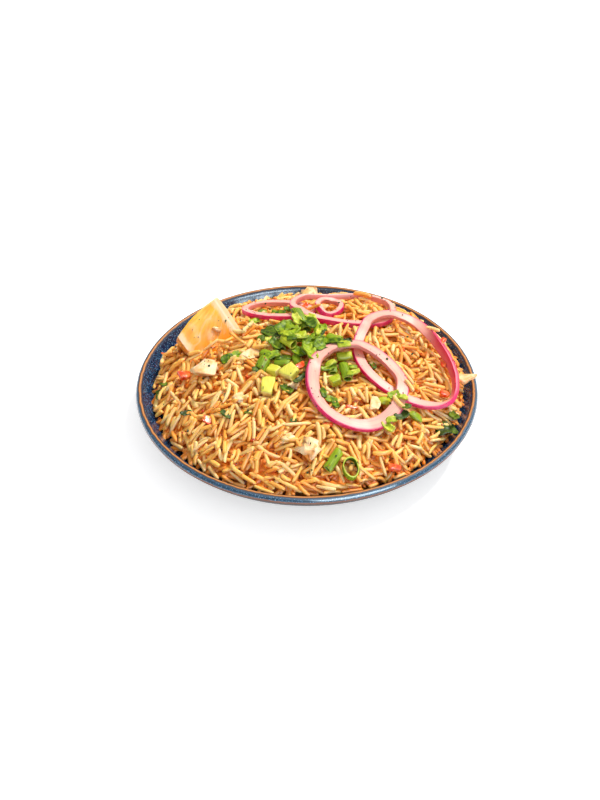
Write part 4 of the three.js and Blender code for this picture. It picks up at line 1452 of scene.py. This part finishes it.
# %% [markdown]
# ## The lemon wedge
#
# The wedge's long edge was the middle of the fruit. Its cut faces show flesh with pale membranes that
# fan out from there, then a cream pith and a thin rind. All of that follows from the place inside
# the wedge, so the finish first turns Object coordinates into the wedge's own frame: along the core,
# across the upper face to the rind, and square to it.

# %% The wedge's own frame
LEMON_CORNER = Vector((-57.6, 41.3, 57.1)) * MM
LEMON_ALONG = Vector((-0.542, 0.392, 0.742)).normalized()
LEMON_ACROSS = Vector((-0.726, -0.659, -0.183)).normalized()
LEMON_NORMAL = LEMON_ALONG.cross(LEMON_ACROSS).normalized()
LEMON_RADIUS = 35 * MM

lemon_mesh = refine("lemon_wedge", 3, 0.35 * MM, 150, crease=0.85)
place = np.array([v.co for v in lemon_mesh.vertices]) - np.array(LEMON_CORNER)
down = -(place @ np.array(LEMON_ALONG)) / MM
out_u = place @ np.array(LEMON_ACROSS)
out_v = place @ np.array(LEMON_NORMAL)
layers = {"down": down, "out": np.hypot(out_u, out_v) / MM, "u": out_u / MM}
for name, values in layers.items():
    lemon_mesh.attributes.new(name, "FLOAT", "POINT").data.foreach_set("value", values.astype(np.float32))
print("lemon:", len(lemon_mesh.polygons), "faces, out to", round(float(layers["out"].max()), 1), "mm")

# %% The lemon's finish
lemon = Finish("lemon", 0.3, Subsurface_Weight=0.12, Subsurface_Scale=2.5 * MM)
lemon.shader.inputs["Subsurface Radius"].default_value = (1.0, 0.8, 0.15)
from_ridge = lemon.attribute("u")
below_cut = lemon.attribute("down")
fan = lemon.math("DIVIDE", lemon.math("ADD", below_cut, 4.0), lemon.math("ADD", from_ridge, 14.0))
vesicles = lemon.group(FIBRES, Along=from_ridge, Around=fan, Length=0.09, Count=11.0)
juice = lemon.ramp(vesicles, [(0.3, paint(242, 160, 8)), (0.5, paint(248, 188, 40)), (0.7, paint(252, 212, 92))])
# The flesh turns a deeper orange further down the wedge, away from its upper end.
deeper_orange_further_down = lemon.span(lemon.math("ADD", below_cut, lemon.span(vesicles, 0.3, 0.7, -3, 3)), 7, 24, 0.0, 0.85)
flesh_colour = lemon.mix(deeper_orange_further_down, juice, paint(238, 140, 0))
wander = lemon.span(lemon.group(PATCHES, Vector=lemon.place, Scale=90.0, Detail=2.0), 0, 1, -0.05, 0.05)
MEMBRANES = (0.5, 0.98)
membrane = lemon.math("ADD", 0.0, 0.0)
for at in MEMBRANES:
    beside = lemon.math("ABSOLUTE", lemon.math("SUBTRACT", lemon.math("ADD", fan, wander), at))
    membrane = lemon.math("MAXIMUM", membrane, lemon.span(beside, 0.035, 0.012))
walled = lemon.mix(lemon.math("MULTIPLY", membrane, 0.35), flesh_colour, paint(250, 216, 160))
from_edge = lemon.math("ADD", lemon.attribute("out"), lemon.span(vesicles, 0.3, 0.7, -0.8, 0.8))
pithy = lemon.mix(lemon.span(from_edge, 29.6, 31.6), walled, paint(246, 206, 150))
wavy_ridge = lemon.math("ADD", from_ridge, lemon.span(vesicles, 0.3, 0.7, -1.0, 1.0))
cored = lemon.mix(lemon.span(wavy_ridge, 4.2, 2.2), pithy, paint(248, 214, 164))
crease = lemon.span(lemon.math("ABSOLUTE", from_ridge), 1.1, 0.3)
creased = lemon.mix(lemon.math("MULTIPLY", crease, 0.8), cored, paint(255, 238, 212))
# A cream band along the wedge's upper cut edge: a thin membrane with a painted highlight of its wet edge.
edge_membrane_and_highlight = lemon.mix(lemon.span(below_cut, 1.6, 0.4), creased, paint(250, 214, 150))
# The rind is painted a dark orange: its own colour with painted shade, as it shows only in shade along the lower edge.
lemon.colour(lemon.mix(lemon.span(lemon.attribute("out"), 34.0, 34.6), edge_membrane_and_highlight, paint(226, 140, 40)))
lemon.bump(vesicles, 0.4 * MM, 0.5)
finish_piece("lemon_cut", lemon_mesh, lemon, ["lemon_wedge"])

# %% A seed sticks out of the cut face
SEED_FROM_RIDGE = 10.5
SEED_BELOW_CUT = 16.4
SEED_SIZE = (6.5, 3.2, 2.6)

seed_shape = bmesh.new()
bmesh.ops.create_uvsphere(seed_shape, u_segments=16, v_segments=12, radius=0.5 * MM)
bmesh.ops.scale(seed_shape, vec=SEED_SIZE, verts=seed_shape.verts)
for corner in seed_shape.verts:
    corner.co.y *= 1 - 0.35 * corner.co.x / (SEED_SIZE[0] / 2 * MM)
wedge_frame = Matrix((LEMON_ACROSS, LEMON_ALONG, LEMON_NORMAL)).transposed()
bmesh.ops.rotate(seed_shape, verts=seed_shape.verts, matrix=wedge_frame @ Matrix.Rotation(0.9, 3, "Z"))
seed_place = LEMON_CORNER + (LEMON_ACROSS * SEED_FROM_RIDGE - LEMON_ALONG * SEED_BELOW_CUT) * MM
bmesh.ops.translate(seed_shape, verts=seed_shape.verts, vec=seed_place + LEMON_NORMAL * 0.7 * MM)
hull = Finish("lemon seed", 0.35)
hull.colour(hull.ramp(
    hull.group(PATCHES, Vector=hull.place, Scale=300.0), [(0.0, paint(246, 206, 150)), (1.0, paint(226, 160, 90))],
))
finish_piece("lemon_seed", seed_shape, hull)
